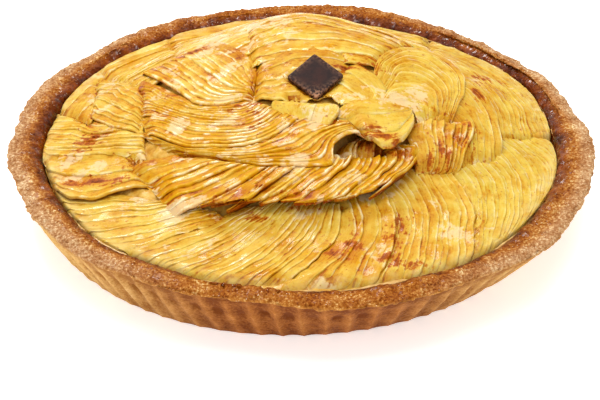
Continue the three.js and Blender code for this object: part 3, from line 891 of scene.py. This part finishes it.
# Each fan is one sliced piece of apple. Its slices run from one guide curve to the other, and
# every free edge faces the last guide. The points are plan places in mm. Later fans lie under
# earlier ones.
#   rise       how far the two ends of a slice stand above the heap
#   tip        from pointed petals (3) to blunt ends (14)
#   warmth     from cream (0) to golden (1)
#   lift       how far a free edge stands above its back
#   lifts      each slice's multiple of it, in place of a random one
#   thickness  of a slice at its free edge
#   carry_on   how far the slices run past the fan's two ends
#   proud      1 for an end that doesn't sink into what lies round it
#   ragged     the share of a slice's length by which its ends differ
#   starts     where each slice starts, as a share of its length
#   shaped     humps of the whole fan: plan place, spread across and back, and height
#   toast      how far the whole fan is browned
USUAL_FAN = {
    "thickness": 1.15, "carry_on": (2.5, 2.5), "proud": (0, 0), "ragged": 0.04, "toast": 0.0,
    "shaped": [], "starts": None, "lifts": None,
}
FANS = [
    dict(name="apple_petals_flap", slices=3, rise=(7, 7), tip=3, warmth=0.1, lift=0.8,
         thickness=2.2, carry_on=(0, 0), proud=(0, 1), shaped=[(38, -44, 10, 6, 1.5)],
         first=[(17, -27), (26, -22), (37, -21), (49, -21)],
         last=[(28, -38), (33, -43), (41, -43), (50, -27)]),
    dict(name="apple_petals_scallop", slices=3, rise=(6, 6), tip=3, warmth=0.0, lift=0.4,
         carry_on=(0, 0),
         first=[(-3, -31), (-6, -22), (-3, -18), (1, -17)],
         last=[(8, -38), (14, -29), (15, -21), (10, -16)]),
    dict(name="apple_petals_curl", slices=3, rise=(6, 6), tip=3, warmth=0.2, lift=0.5,
         first=[(22, 9), (30, 1), (35, -9), (32, -22)],
         last=[(12, -12), (18, -17), (24, -21), (20, -27)]),
    dict(name="apple_petals_pale", slices=3, rise=(6, 5), tip=3, warmth=0.05, lift=0.3,
         first=[(36, -29), (42, -17), (50, -14), (54, -24)],
         last=[(35, -21), (42, -1), (59, 2), (61, -18)]),
    dict(name="apple_fan_shell", slices=9, rise=(5, 4), tip=4, warmth=0.3, lift=0.6,
         first=[(35, -21), (44, -1), (58, -1), (60, -22)],
         last=[(31, 5), (55, 40), (76, 24), (66, -21)]),
    dict(name="apple_fan_plateau", slices=5, rise=(6, 6), tip=4, warmth=0.5, lift=0.4,
         thickness=0.9,
         first=[(-18, 5), (-9, 10), (2, 17), (24, 15)],
         last=[(-17, -15), (-7, -17), (5, -16), (24, -8)]),
    dict(name="apple_fan_top", slices=7, rise=(6, 5), tip=4, warmth=0.5, lift=0.4, thickness=0.9,
         first=[(-24, 50), (0, 68), (32, 64), (62, 42)],
         last=[(-20, 8), (-5, 13), (19, 12), (39, 9)]),
    dict(name="apple_fan_bowl", slices=10, rise=(5, 5), tip=5, warmth=0.7, lift=0.7,
         first=[(-42, 47), (-29, 25), (-21, 9), (-18, -5)],
         last=[(-72, 40), (-55, 7), (-40, -12), (-18, -13)]),
    dict(name="apple_fan_feathers_high", slices=14, rise=(4, 5), tip=6, warmth=0.85, lift=0.75,
         first=[(-73, 30), (-52, -1), (-31, -16), (-18, -14)],
         last=[(-65, -20), (-40, -39), (-15, -40), (3, -25)]),
    dict(name="apple_fan_crest", slices=8, rise=(4, 6), tip=6, warmth=0.95, lift=0.75,
         carry_on=(2.5, 0), proud=(0, 1), shaped=[(23, -43, 11, 7, 4.5)],
         first=[(-65, -20), (-48, -36), (-30, -42), (-16, -39), (-6, -32), (8, -25)],
         middle=[(-55, -33), (-38, -45), (-20, -48), (-3, -47), (8, -39), (24, -32)],
         last=[(-47, -39), (-27, -50), (-7, -55), (11, -55), (15, -46), (32, -40)]),
    dict(name="apple_fan_feathers_low", slices=8, rise=(3, 4), tip=6, warmth=1.0, lift=0.85,
         carry_on=(2, 5),
         first=[(-69, -40), (-56, -41), (-43, -42), (-28, -49)],
         last=[(-50, -72), (-36, -67), (-24, -60), (-8, -50)]),
    dict(name="apple_fan_ruffle", slices=8, rise=(4, 3), tip=5, warmth=0.6, lift=1.2,
         first=[(52, -21), (49, -32), (51, -41), (51, -50)],
         last=[(74, -14), (75, -24), (71, -35), (66, -45)]),
    dict(name="apple_slices_cave", slices=4, rise=(-2, -1), tip=4, warmth=0.9, lift=2.6,
         thickness=1.2, toast=0.2, carry_on=(0, 4),
         first=[(15, -50), (15, -44), (18, -38), (24, -33)],
         last=[(34, -46), (35, -39), (35, -34), (36, -28)]),
    dict(name="apple_fan_cliff", slices=20, rise=(6, 3), tip=14, warmth=0.95, lift=1.2,
         thickness=1.5, ragged=0.03, carry_on=(0, 7), proud=(1, 0),
         shaped=[(26, -41, 10, 6, -7.0), (45, -36, 5, 4, -3.0)],
         starts=[0.06, 0.0, -0.12, -0.28, -0.3, 0.06, 0.12, 0.0, 0.1, 0.02, 0.14, -0.08, -0.1,
                 -0.09, -0.07, -0.09, -0.12, 0.05, 0.1, 0.02],
         lifts=[1.0, 0.8, 1.0, 1.2, 2.2, 1.0, 1.6, 0.8, 1.4, 0.8, 1.8, 0.7, 1.2, 0.8, 1.3, 0.8, 1.6,
                 1.0, 1.3, 1.8],
         first=[(-42, -71), (-32, -64), (-22, -57), (-15, -52), (-8, -48)],
         middle=[(-1, -74), (6, -66), (15, -57), (18, -50), (16, -44)],
         last=[(31, -71), (42, -58), (48, -49), (49, -40), (45, -36)]),
    dict(name="apple_fan_right_petals", slices=6, rise=(3, 2), tip=5, warmth=0.4, lift=0.6,
         first=[(64, -9), (70, -17), (72, -27), (70, -44)],
         last=[(75, 25), (84, 10), (88, -9), (88, -32)]),
    dict(name="apple_fan_stack", slices=8, rise=(2, 3), tip=4, warmth=0.5, lift=0.8,
         first=[(-96, 57), (-87, 48), (-77, 29), (-66, 10)],
         last=[(-94, 14), (-87, 4), (-79, -6), (-68, -16)]),
    dict(name="apple_fan_back_slope", slices=9, rise=(4, 4), tip=6, warmth=0.55, lift=0.4,
         carry_on=(2, 5),
         first=[(-66, 106), (-45, 110), (-25, 116), (-5, 118)],
         last=[(-56, 20), (-40, 18), (-27, 20), (-12, 30)]),
    dict(name="apple_fan_back_left", slices=9, rise=(3, 3), tip=6, warmth=0.5, lift=0.8,
         carry_on=(2, 5),
         first=[(-98, 70), (-88, 82), (-78, 92), (-62, 104)],
         last=[(-76, 18), (-66, 20), (-57, 22), (-44, 30)]),
    dict(name="apple_fan_right_rim", slices=16, rise=(1, 1), tip=6, warmth=0.3, lift=0.4,
         thickness=0.7, carry_on=(5, 5),
         first=[(60, 44), (77, 30), (86, 5), (88, -18)],
         last=[(68, 98), (94, 74), (112, 36), (116, -2)]),
    dict(name="apple_fan_back", slices=9, rise=(3, 2), tip=6, warmth=0.35, lift=0.35, thickness=0.9,
         carry_on=(5, 5),
         first=[(-10, 118), (22, 118), (46, 110), (72, 94)],
         last=[(-22, 52), (2, 66), (32, 62), (58, 42)]),
    dict(name="apple_petals_left_back", slices=3, rise=(1, 2), tip=3, warmth=0.5, lift=0.8,
         carry_on=(5, 5),
         first=[(-114, 34), (-108, 52), (-101, 66), (-90, 80)],
         last=[(-93, 8), (-88, 24), (-82, 40), (-72, 48)]),
    dict(name="apple_petals_left_cups", slices=3, rise=(1, 1), tip=3, warmth=0.5, lift=1.6,
         carry_on=(3, 3),
         first=[(-113, -13), (-100, -21), (-90, -26), (-70, -32)],
         last=[(-106, -42), (-93, -50), (-83, -52), (-60, -52)]),
    dict(name="apple_fan_left", slices=14, rise=(1, 2), tip=5, warmth=0.42, lift=0.7,
         carry_on=(3, 8),
         first=[(-114, 36), (-98, 30), (-88, 18), (-70, 6)],
         last=[(-118, -14), (-103, -22), (-91, -29), (-64, -38)]),
    dict(name="apple_fan_front", slices=17, rise=(0, -1), tip=6, warmth=0.45, lift=0.45,
         thickness=0.7, carry_on=(3, 14),
         first=[(-70, -91), (-52, -84), (-37, -78), (-20, -68)],
         middle=[(-40, -108), (-25, -96), (-13, -84), (-2, -68)],
         last=[(-4, -114), (8, -96), (13, -86), (15, -70)]),
    dict(name="apple_fan_front_broad", slices=5, rise=(-1, 0), tip=4, warmth=0.6, lift=1.0,
         carry_on=(8, 4),
         first=[(12, -60), (16, -80), (11, -96), (-4, -118)],
         last=[(32, -58), (36, -74), (36, -89), (30, -116)]),
    dict(name="apple_fan_front_left", slices=10, rise=(0, 0), tip=6, warmth=0.42, lift=0.45,
         thickness=0.7, carry_on=(4, 14),
         first=[(-108, -42), (-88, -46), (-75, -53), (-58, -60)],
         last=[(-80, -92), (-62, -87), (-48, -81), (-28, -74)]),
    dict(name="apple_fan_front_right", slices=11, rise=(-1, 0), tip=6, warmth=0.4, lift=0.5,
         carry_on=(8, 4),
         first=[(30, -58), (36, -74), (36, -88), (28, -116)],
         last=[(56, -34), (66, -56), (69, -75), (66, -102)]),
    dict(name="apple_fan_right", slices=20, rise=(0, 0), tip=6, warmth=0.12, lift=0.3,
         thickness=0.6, carry_on=(8, 4),
         first=[(58, -34), (69, -54), (69, -70), (64, -102)],
         last=[(88, 8), (112, -12), (117, -42), (106, -72)]),
]

# Where the oven has browned the apples: plan place, spread across and back, and strength.
TOASTED = [
    # left
    (-97, -39, 7, 3, 0.7), (-96, -40, 6, 3, 0.7), (-93, -15, 7, 4, 0.7), (-92, -3, 6, 4, 0.7),
    (-92, 6, 8, 3, 0.5), (-91, -12, 6, 5, 0.8), (-91, -8, 9, 4, 0.8), (-90, -40, 8, 4, 0.6),
    (-86, -42, 7, 4, 0.7), (-84, -42, 8, 3, 0.7), (-84, -5, 5, 4, 0.4), (-78, -45, 8, 4, 0.6),
    (-72, -37, 6, 3, 0.4), (-72, -35, 4, 3, 0.5), (-70, 19, 3, 7, 0.7),
    # top and back
    (-54, 3, 9, 2, 0.5), (-48, 36, 10, 4, 0.9), (22, 7, 8, 3, 0.8), (31, 9, 9, 3, 0.8),
    (37, 16, 6, 3, 0.4),
    # middle
    (-27, -19, 6, 3, 0.5), (-25, -18, 10, 2, 0.6), (-23, -30, 6, 4, 0.5), (-20, -23, 5, 4, 0.6),
    (-18, -36, 6, 4, 0.45), (-15, -18, 5, 2, 0.7), (-6, -47, 8, 3, 0.3), (31, -38, 5, 4, 0.7),
    (36, -42, 7, 4, 0.8), (41, -46, 6, 4, 0.8), (44, -47, 6, 4, 0.6), (55, -46, 6, 4, 0.6),
    # front
    (-34, -73, 5, 3, 0.5), (-30, -66, 7, 4, 0.55), (-24, -71, 6, 3, 0.6), (-18, -76, 6, 3, 0.8),
    (-15, -68, 6, 3, 0.6), (-14, -60, 5, 5, 0.45), (0, -71, 10, 2, 0.5), (10, -72, 8, 2, 0.45),
    (14, -98, 7, 6, 0.75), (20, -93, 6, 5, 0.7), (22, -84, 3, 8, 0.5), (34, -102, 6, 6, 0.75),
    (37, -91, 4, 7, 0.65), (40, -80, 5, 8, 0.6), (42, -106, 6, 4, 0.6), (42, -104, 6, 4, 0.4),
    # right
    (60, -40, 8, 7, 0.6), (68, -30, 7, 8, 0.6), (73, -20, 5, 6, 0.5), (81, 12, 4, 8, 0.7),
    (82, 29, 5, 5, 0.5), (83, 41, 4, 4, 0.6), (85, 38, 6, 6, 0.6), (88, 27, 4, 6, 0.5),
    (93, 27, 6, 6, 0.5), (97, 42, 6, 4, 0.5),
]

# Where set glaze lies on them as a cloud, partly a painted reflection of the lights, in the same way.
GLAZE_SHEEN_PATCHES = [
    # left
    (-101, -19, 4, 7, 1.0), (-98, -35, 9, 3, 0.9), (-94, -19, 3, 3, 1.0), (-89, 41, 6, 14, 0.9),
    (-85, -33, 4, 5, 1.0), (-85, 15, 6, 4, 0.6), (-72, -34, 8, 5, 0.8), (-65, -55, 7, 6, 1.0),
    (-63, -10, 6, 4, 0.8), (-62, -82, 4, 2, 0.9), (-61, 10, 9, 11, 0.5),
    # top and back
    (-39, 52, 12, 35, 0.7), (-30, 10, 8, 12, 0.7), (-15, 56, 18, 36, 0.8), (6, 28, 9, 9, 0.3),
    # middle
    (-53, -24, 5, 4, 0.8), (-31, -12, 9, 3, 0.9), (-29, -28, 6, 4, 0.7), (-5, -35, 5, 6, 0.6),
    (-2, -55, 8, 5, 0.9), (-2, -53, 8, 3, 1.0), (1, -26, 6, 5, 0.9), (5, -26, 10, 9, 0.9),
    (7, -31, 5, 4, 0.9), (14, -53, 3, 3, 0.9), (17, -49, 4, 5, 0.8), (18, -46, 3, 3, 0.9),
    (18, -25, 5, 3, 0.6), (24, -16, 7, 6, 0.8), (25, -42, 5, 2, 0.9), (39, -56, 5, 3, 0.7),
    (42, -49, 5, 4, 0.4), (44, -41, 5, 2, 0.9), (47, -13, 13, 12, 0.8),
    # front
    (-48, -70, 12, 6, 1.0), (-43, -91, 3, 2, 0.8), (7, -74, 7, 3, 0.4), (8, -115, 13, 3, 0.8),
    (18, -65, 5, 3, 0.5), (25, -61, 5, 3, 0.9), (25, -61, 5, 7, 0.8), (30, -95, 5, 8, 0.7),
    # right
    (62, -86, 8, 8, 1.0), (66, -20, 5, 4, 0.6), (101, -23, 6, 12, 0.3),
]


def fan_place(fan, across, along):
    """Plan places inside a fan: "across" counts from the first edge (0) to the last (1)."""
    first = spline(fan["first"], along)
    last = spline(fan["last"], along)
    middle = spline(fan["middle"], along) if "middle" in fan else (first + last) / 2
    across = across[..., None]
    return (first * (1 - across) * (1 - 2 * across) + middle * 4 * across * (1 - across)
            + last * across * (2 * across - 1))


def fan_width(fan, along):
    """Distance between the first and the last edge at each place along the slices."""
    first, last = [fan_place(fan, np.full_like(along, across), along) for across in (0.0, 1.0)]
    return np.maximum(np.linalg.norm(last - first, axis=-1), SLICE["least_width"])


def warped(places):
    """Plan places moved a little by smooth noise, so that no curve stays perfectly fair."""
    x, y = places[..., 0], places[..., 1]
    moved = [uneven(kind, x, y) + uneven(kind + "_fine", x, y) for kind in ("warp_x", "warp_y")]
    return places + np.stack(moved, -1)


def hold_inside(places):
    """Presses plan places that would pass the crust's inner wall up against it."""
    radius = np.linalg.norm(places, axis=-1)
    limit = inner_radius(np.arctan2(places[..., 1], places[..., 0])) + SLICE["into_crust"]
    soft = SLICE["press_over"]
    over = np.maximum(radius - (limit - soft), 0)
    pressed = np.where(over > 0, limit - soft * np.exp(-over / soft), radius)
    return places * (pressed / np.maximum(radius, TINY))[..., None]


def slice_section():
    """Section of a slice: share from its back to its free edge, bulge there and share of its drop."""
    tread = np.linspace(0, 1, SLICE["tread"])
    turn = np.linspace(0, math.pi, SLICE["edge"] + 2)[1:-1]
    under = np.linspace(1, 0, SLICE["under"])
    share = np.concatenate([tread, np.ones(SLICE["edge"]), under])
    face = np.sin(np.minimum(turn, math.pi / 2)) + 0.35 * np.maximum(turn - math.pi / 2, 0)
    bulge = np.concatenate([0 * tread, face, 0 * under + face[-1]])
    drop = np.concatenate([0 * tread, (1 - np.cos(turn)) / 2, np.ones(SLICE["under"])])
    return share, bulge, drop


def even_ends(count):
    """Shares from 0 to 1 that crowd a little towards both ends."""
    plain = np.linspace(0, 1, count)
    return 0.5 * plain + 0.5 * (1 - np.cos(math.pi * plain)) / 2


def cut_slice(fan, number, low, high, random):
    """The measures of one slice, which lies between two shares of its fan."""
    steps = SLICE["guide_steps"]
    guide = fan_place(fan, np.full(steps, low), np.linspace(0, 1, steps))
    length = np.linalg.norm(np.diff(guide, axis=0), axis=1).sum()
    before, after = fan["carry_on"]
    start = fan["ragged"] * random.random() - before / length
    start += fan["starts"][number] if fan["starts"] else 0
    end = 1 - fan["ragged"] * random.random() + after / length
    usual_lift = random.uniform(*SLICE["lift_varies"])
    local = even_ends(SLICE["stations"])
    along = start + (end - start) * local
    ends = (length * (along - along[0]), length * (along[-1] - along))
    sunk = [(1 - proud) * smooth_step(SLICE["sink_over"], 0, run) for run, proud in zip(ends, fan["proud"])]
    width = fan_width(fan, along)
    return {
        "number": number, "low": low, "high": high, "length": length,
        "lift": fan["lift"] * (fan["lifts"][number] if fan["lifts"] else usual_lift),
        "thickness": fan["thickness"] * random.uniform(*SLICE["thickness_varies"]),
        "local": local,
        "along": along,
        "run": along * length,
        "from_tip": np.minimum(*ends),
        "sunk": SLICE["sink"] * np.maximum(*sunk),
        "width": width,
        "spacing": (high - low) * width,
        "tip": 0.05 + 0.95 * (1 - np.abs(2 * local - 1) ** fan["tip"]) ** (1 / fan["tip"]),
    }


def slice_noise(kind, cut):
    """Noise along one slice, which differs from its neighbours'."""
    return uneven(kind, cut["run"], SLICE_APART[kind] * cut["number"])


def slice_reach(cut):
    """Distance from the valley line in mm, negative where a slice is tucked under its neighbour."""
    share, bulge, _ = slice_section()
    tuck, spacing, tip = SLICE["tuck"], cut["spacing"], cut["tip"]
    free = -tuck + (spacing + tuck) * tip
    nose = SLICE["nose"] * cut["thickness"] * bulge * (share >= 1) * tip[:, None]
    nicks = slice_noise("slice_nicks", cut) * np.minimum(1, spacing / 3)
    return -tuck + (free[:, None] + tuck) * share + nose + nicks[:, None] * share ** 4


def slice_places(fan, cut, reach, beyond):
    """Plan places of a slice's points."""
    low, high = cut["low"], cut["high"]
    across = low + (high - low) * beyond + np.minimum(reach, 0) / cut["width"][:, None]
    wander = slice_noise("slice_wander", cut) * (high - low)
    across = across + wander[:, None] * np.clip(beyond, 0, 1)
    along = np.broadcast_to(cut["along"][:, None], across.shape)
    return hold_inside(warped(fan_place(fan, across, along)))


def slice_height(fan, cut, x, y, reach, beyond):
    """Height of a slice's points: the heap, the fan's rise, the slice's own slope and its body."""
    _, _, drop = slice_section()
    spacing, tip = cut["spacing"], cut["tip"]
    vary = 1 + slice_noise("slice_lift", cut)
    bow = 0.65 + 0.35 * np.sin(math.pi * cut["local"])
    slope = cut["lift"] * np.minimum(1, spacing / SLICE["full_lift"]) * bow * vary
    part = np.clip(reach / np.maximum(spacing, 1.0)[:, None], -1.6, 1.0)
    climb = part * (1 + SLICE["crown"] * np.clip(1 - part, 0, 1))
    calm = 1 - 0.45 * patches_at(x, y, GLAZE_SHEEN_PATCHES) - 0.15 * smooth_step(14.0, 2.0, gap_to_rim(x, y))
    rise = fan["rise"][0] + (fan["rise"][1] - fan["rise"][0]) * cut["along"] - cut["sunk"]
    body = cut["thickness"] * np.sqrt(tip)[:, None] * drop
    wave = uneven("slice_wave", x, y, SLICE_APART["slice_wave"] * cut["number"])
    frill = slice_noise("slice_frill", cut)[:, None] * np.clip(beyond, 0, 1) ** 2
    z = heap_height(x, y) + heap_swell(x, y) + rise[:, None] + slope[:, None] * climb * calm - body
    return z + wave + frill + humps(x, y, fan["shaped"])


def slice_painted_light(cut, reach, beyond):
    """How light the finish is painted: 0 for painted shade in the fold, 1 for a painted highlight at the
    free edge, less down the cut face.
    """
    share, _, drop = slice_section()
    top = np.clip(beyond, 0, 1)
    top = 0.42 * smooth_step(0, 0.16, top) + 0.2 * top + 0.38 * smooth_step(0.8, 1.0, top)
    # Slices with nothing over their back, and parts tucked out of sight, get no painted shade of a fold.
    no_fold = (reach < -0.7) | (cut["number"] == 0)
    top = np.where(no_fold, np.maximum(top, 0.4), top)
    face = (share >= 1) & (drop > 0)
    # Painted shade down the cut face and on the underside; lighter near the tips.
    edge = np.where(face, 0.95 * (1 - drop ** 3), top * (1 - drop))
    at_tip = 0.8 * smooth_step(2.5, 0.5, cut["from_tip"])[:, None]
    edge = np.where(drop < 0.6, np.maximum(edge, at_tip), edge)
    return np.clip(edge, 0, 1)


def make_slice(fan, number, low, high, random):
    """One slice: a grid of points (stations x section) with its marks."""
    cut = cut_slice(fan, number, low, high, random)
    reach = slice_reach(cut)
    beyond = np.maximum(reach, 0) / np.maximum(cut["spacing"], 0.3)[:, None]
    places = slice_places(fan, cut, reach, beyond)
    x, y = places[..., 0], places[..., 1]
    run = np.broadcast_arrays(cut["run"][:, None], reach, SLICE_APART["streaks"] * number)
    return {
        "x": x, "y": y, "z": slice_height(fan, cut, x, y, reach, beyond),
        "edge": slice_painted_light(cut, reach, beyond),
        "run": np.stack(run, -1),
        "buried": cut["sunk"][:, None] + BURIED["tucked"] * (reach < -0.5),
    }


def fan_slices(fan, random):
    count = fan["slices"]
    cuts = np.linspace(0, 1, count + 1)
    cuts[1:-1] += random.uniform(*SLICE["cut_varies"], count - 1) / count
    return [make_slice(fan, number, cuts[number], cuts[number + 1], random) for number in range(count)]


def shown_underside(grid, buried):
    """Points close together on a slice's lower side, without what is sunk or tucked under."""
    under = np.concatenate([grid, buried[..., None]], -1)[:, -SLICE["under"]:]
    under = refined(under, 3).reshape(-1, 4)
    return under[under[:, 3] < BURIED["most"], :3]


def slice_marks(fan, part, toast, random):
    """The marks of a slice's points that its finish reads."""
    x, y = part["x"], part["y"]
    marks = {
        "edge": part["edge"],
        "tone": np.full_like(x, random.uniform(*SLICE["tone_varies"])),
        "warmth": np.full_like(x, fan["warmth"] + random.uniform(*SLICE["warmth_varies"])),
        "toast": toast,
        "film": smooth_step(*FILM_OVER, gap_to_rim(x, y)),
        "glaze_sheen": patches_at(x, y, GLAZE_SHEEN_PATCHES),
    }
    return {key: values.ravel() for key, values in marks.items()} | {"run": part["run"].reshape(-1, 3)}


def dress_fan(fan, ceiling, material, random):
    """One fan of slices under the ceiling, which it then lowers for the fans below it."""
    grids, faces, undersides, marks = [], [], [], []
    for part in fan_slices(fan, random):
        x, y = part["x"], part["y"]
        z = np.minimum(part["z"], ceiling.over(x, y) - CLEARANCE["slices"])
        toast = patches_at(x, y, TOASTED) + fan["toast"]
        z = z + (0.13 + 0.16 * toast) * uneven("slice_grain", x, y, z)
        grid = np.stack([x, y, z], -1)
        faces += tube_faces(*x.shape, start=len(grids) * x.size)
        grids.append(grid)
        undersides.append(shown_underside(grid, part["buried"]))
        marks.append(slice_marks(fan, part, toast, random))
    marks = {key: np.concatenate([part[key] for part in marks]) for key in marks[0]}
    points = np.concatenate(grids).reshape(-1, 3)
    piece = make_piece(fan["name"] + "_slices", points, faces, material, marks)
    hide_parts(fan["name"])
    ceiling.cover(np.concatenate(undersides))


# ---------------- the apple bed

def dress_bed(ceiling):
    """The cooked apple that fills the case under the fans."""
    rings, around = BED["rings"], BED["around"]
    angle = np.arange(around) * TAU / around
    share = np.linspace(0.01, 1.0, rings)[:, None]
    radius = share * (inner_radius(angle) - BED["gap"])
    x, y = radius * np.cos(angle), radius * np.sin(angle)
    mound = BED["mound"] * smooth_step(*BED["mound_over"], radius) - BED["drop"]
    top = heap_height(x, y) + heap_swell(x, y) + mound + uneven("bed_lumps", x, y)
    top -= humps(x, y, BED_HOLLOWS)
    top = np.minimum(top, ceiling.over(x, y) - CLEARANCE["bed"])
    top = np.maximum(top, CRUST["floor"] + BED["least"])
    wall = ring_points(inner_radius(angle) - BED["wall_gap"], angle, CRUST["inner_bend"])
    foot_radius = CRUST["base_radius"] - CRUST["wall_foot"] - BED["gap"]
    foot = ring_points(foot_radius, angle, CRUST["floor"] + BED["foot"])
    points = np.concatenate([np.stack([x, y, top], -1).reshape(-1, 3), wall, foot])
    # where painted shade darkens the bed
    deep = np.clip(sum(hump(x, y, *place) for *place, _ in BED_HOLLOWS), 0, 1)
    marks = {"deep": np.append(deep.ravel(), np.zeros(2 * around))}
    faces = tube_faces(rings + 2, around)
    piece = make_piece("apple_bed_core", points, faces, bed_finish(), marks)
    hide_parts("apple_bed")


# ---------------- glaze

def dress_glaze(material):
    """Beads of set glaze where the apples meet the crust."""
    rings, around = GLAZE["rings"], GLAZE["around"]
    turn = np.arange(around) * TAU / around
    taper = np.sqrt(np.sin(math.pi * np.linspace(0.002, 0.998, rings)))
    for name, low, high, size in GLAZE_RUNS:
        angle = np.linspace(low, high, rings)
        radius = inner_radius(angle) + GLAZE["into_crust"]
        path_x, path_y = radius * np.cos(angle), radius * np.sin(angle)
        beads = GLAZE["bead"] + uneven("glaze_beads", path_x, path_y)
        swell = (np.clip(beads, GLAZE["least"], GLAZE["most"]) * size * taper)[:, None]
        wobble = uneven("glaze_wobble", path_x, path_y)[:, None]
        height = HEAP["edge_height"] + GLAZE["rise"] + GLAZE["flatness"] * swell * np.sin(turn)
        points = ring_points(radius[:, None] + swell * np.cos(turn) + wobble, angle[:, None], height)
        make_piece(name, points.reshape(-1, 3), tube_faces(rings, around), material)


# ---------------- chocolate plaque

def plaque_outline():
    """A square with rounded corners, as points at 1 from its middle where its sides are nearest."""
    turn = np.arange(PLAQUE["around"]) * TAU / PLAQUE["around"]
    cos, sin = np.abs(np.cos(turn)), np.abs(np.sin(turn))
    power = PLAQUE["corner_power"]
    reach = np.minimum(1 / np.maximum(cos, sin), (cos ** power + sin ** power) ** (-1 / power))
    return np.stack([np.cos(turn), np.sin(turn)], -1) * reach[:, None]


def plaque_profile():
    """The size and the height of each ring, from the middle of one face to the other's."""
    half, thick, edge = PLAQUE["side"] / 2, PLAQUE["thickness"] / 2, PLAQUE["edge_round"]
    face = (0.02, 0.3, 0.6, 0.85)
    profile = [(size, -thick) for size in face]
    for step in np.linspace(-math.pi / 2, math.pi / 2, PLAQUE["edge_steps"]):
        height = (thick - edge) * np.sign(step) + edge * math.sin(step)
        profile.append((1 - edge / half * (1 - math.cos(step)), height))
    return profile + [(size, thick) for size in reversed(face)]


def dress_plaque():
    """A thin tablet with softly rounded edges that stands on its corner, leaning back."""
    half = PLAQUE["side"] / 2
    outline, profile = plaque_outline(), plaque_profile()
    local = np.concatenate([
        np.column_stack([outline * half * size, np.full(len(outline), height)]) for size, height in profile
    ])
    scuff = smooth_step(0.72, 1.0, np.max(np.abs(local[:, :2]), axis=1) / half)
    corner = np.exp(-np.sum((local[:, :2] + half) ** 2, axis=1) / PLAQUE["scuff_spread"])
    turned = Matrix.Rotation(PLAQUE["tilt"], 3, "X") @ Matrix.Rotation(PLAQUE["turn"], 3, "Z")
    points = local @ np.array(turned).T + PLAQUE_PLACE
    marks = {"scuff": np.clip(0.35 * scuff + corner, 0, 1)}
    faces = tube_faces(len(profile), len(outline))
    piece = make_piece("plaque_tablet", points, faces, chocolate_finish(), marks)
    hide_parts("chocolate_plaque")
    return points


# ---------------- camera, light and floor

def place_camera():
    data = bpy.data.cameras.new("camera")
    data.lens = CAMERA["lens"]
    data.sensor_width = CAMERA["sensor"]
    data.clip_start, data.clip_end = 0.05, 20
    sin_e, cos_e = math.sin(CAMERA["elevation"]), math.cos(CAMERA["elevation"])
    sin_r, cos_r = math.sin(CAMERA["roll"]), math.cos(CAMERA["roll"])
    right, up, back = Vector((1, 0, 0)), Vector((0, sin_e, cos_e)), Vector((0, -cos_e, sin_e))
    columns = [cos_r * right + sin_r * up, -sin_r * right + cos_r * up, back]
    turned = Matrix(columns).transposed()
    camera = bpy.data.objects.new("camera", data)
    camera.matrix_world = Matrix.Translation(Vector(to_row(CAMERA_PLACE))) @ turned.to_4x4()
    bpy.context.scene.collection.objects.link(camera)
    bpy.context.scene.camera = camera


def softbox(name, place, size, power):
    """A rectangular light at a place in metres, aimed at the middle of the tart."""
    data = bpy.data.lights.new(name, "AREA")
    data.shape = "RECTANGLE"
    data.size, data.size_y = size
    data.energy = power
    light = bpy.data.objects.new(name, data)
    light.location = place
    light.rotation_euler = (Vector(place) - Vector(LIGHT_AIM)).to_track_quat("Z", "Y").to_euler()
    bpy.context.scene.collection.objects.link(light)


def light_studio():
    softbox("softbox_back", (-0.3, 0.75, 0.85), (0.5, 0.3), 7)
    softbox("softbox_top", (0.0, -0.1, 1.3), (0.9, 0.7), 9)
    softbox("softbox_front_left", (-1.1, -0.9, 0.7), (0.8, 0.8), 4)
    softbox("softbox_front_right", (0.9, -1.0, 0.8), (0.8, 0.8), 2)
    world = bpy.data.worlds.new("studio")
    world.use_nodes = True
    background = world.node_tree.nodes["Background"]
    background.inputs["Color"].default_value = (1, 1, 1, 1)
    background.inputs["Strength"].default_value = 0.6
    bpy.context.scene.world = world
    bpy.context.scene.view_settings.view_transform = "Standard"


def lay_floor():
    """The pale floor, just under the tart's base."""
    half, drop = 3.0, 0.0002
    corners = [(-half, -half, 0), (half, -half, 0), (half, half, 0), (-half, half, 0)]
    mesh = bpy.data.meshes.new("floor")
    mesh.from_pydata(corners, [], [[0, 1, 2, 3]])
    mesh.materials.append(floor_finish())
    floor = bpy.data.objects.new("floor", mesh)
    floor.location.z = -drop
    bpy.context.scene.collection.objects.link(floor)


# ---------------- assembly

def dress_tart():
    random = np.random.default_rng(11)
    ceiling = Ceiling()
    ceiling.cover(dress_plaque() - [0, 0, CLEARANCE["plaque"]])
    apple = apple_finish()
    for fan in FANS:
        dress_fan(USUAL_FAN | fan, ceiling, apple, random)
    dress_bed(ceiling)
    dress_glaze(glaze_finish())
    dress_crust()


place_camera()
light_studio()
lay_floor()
dress_tart()
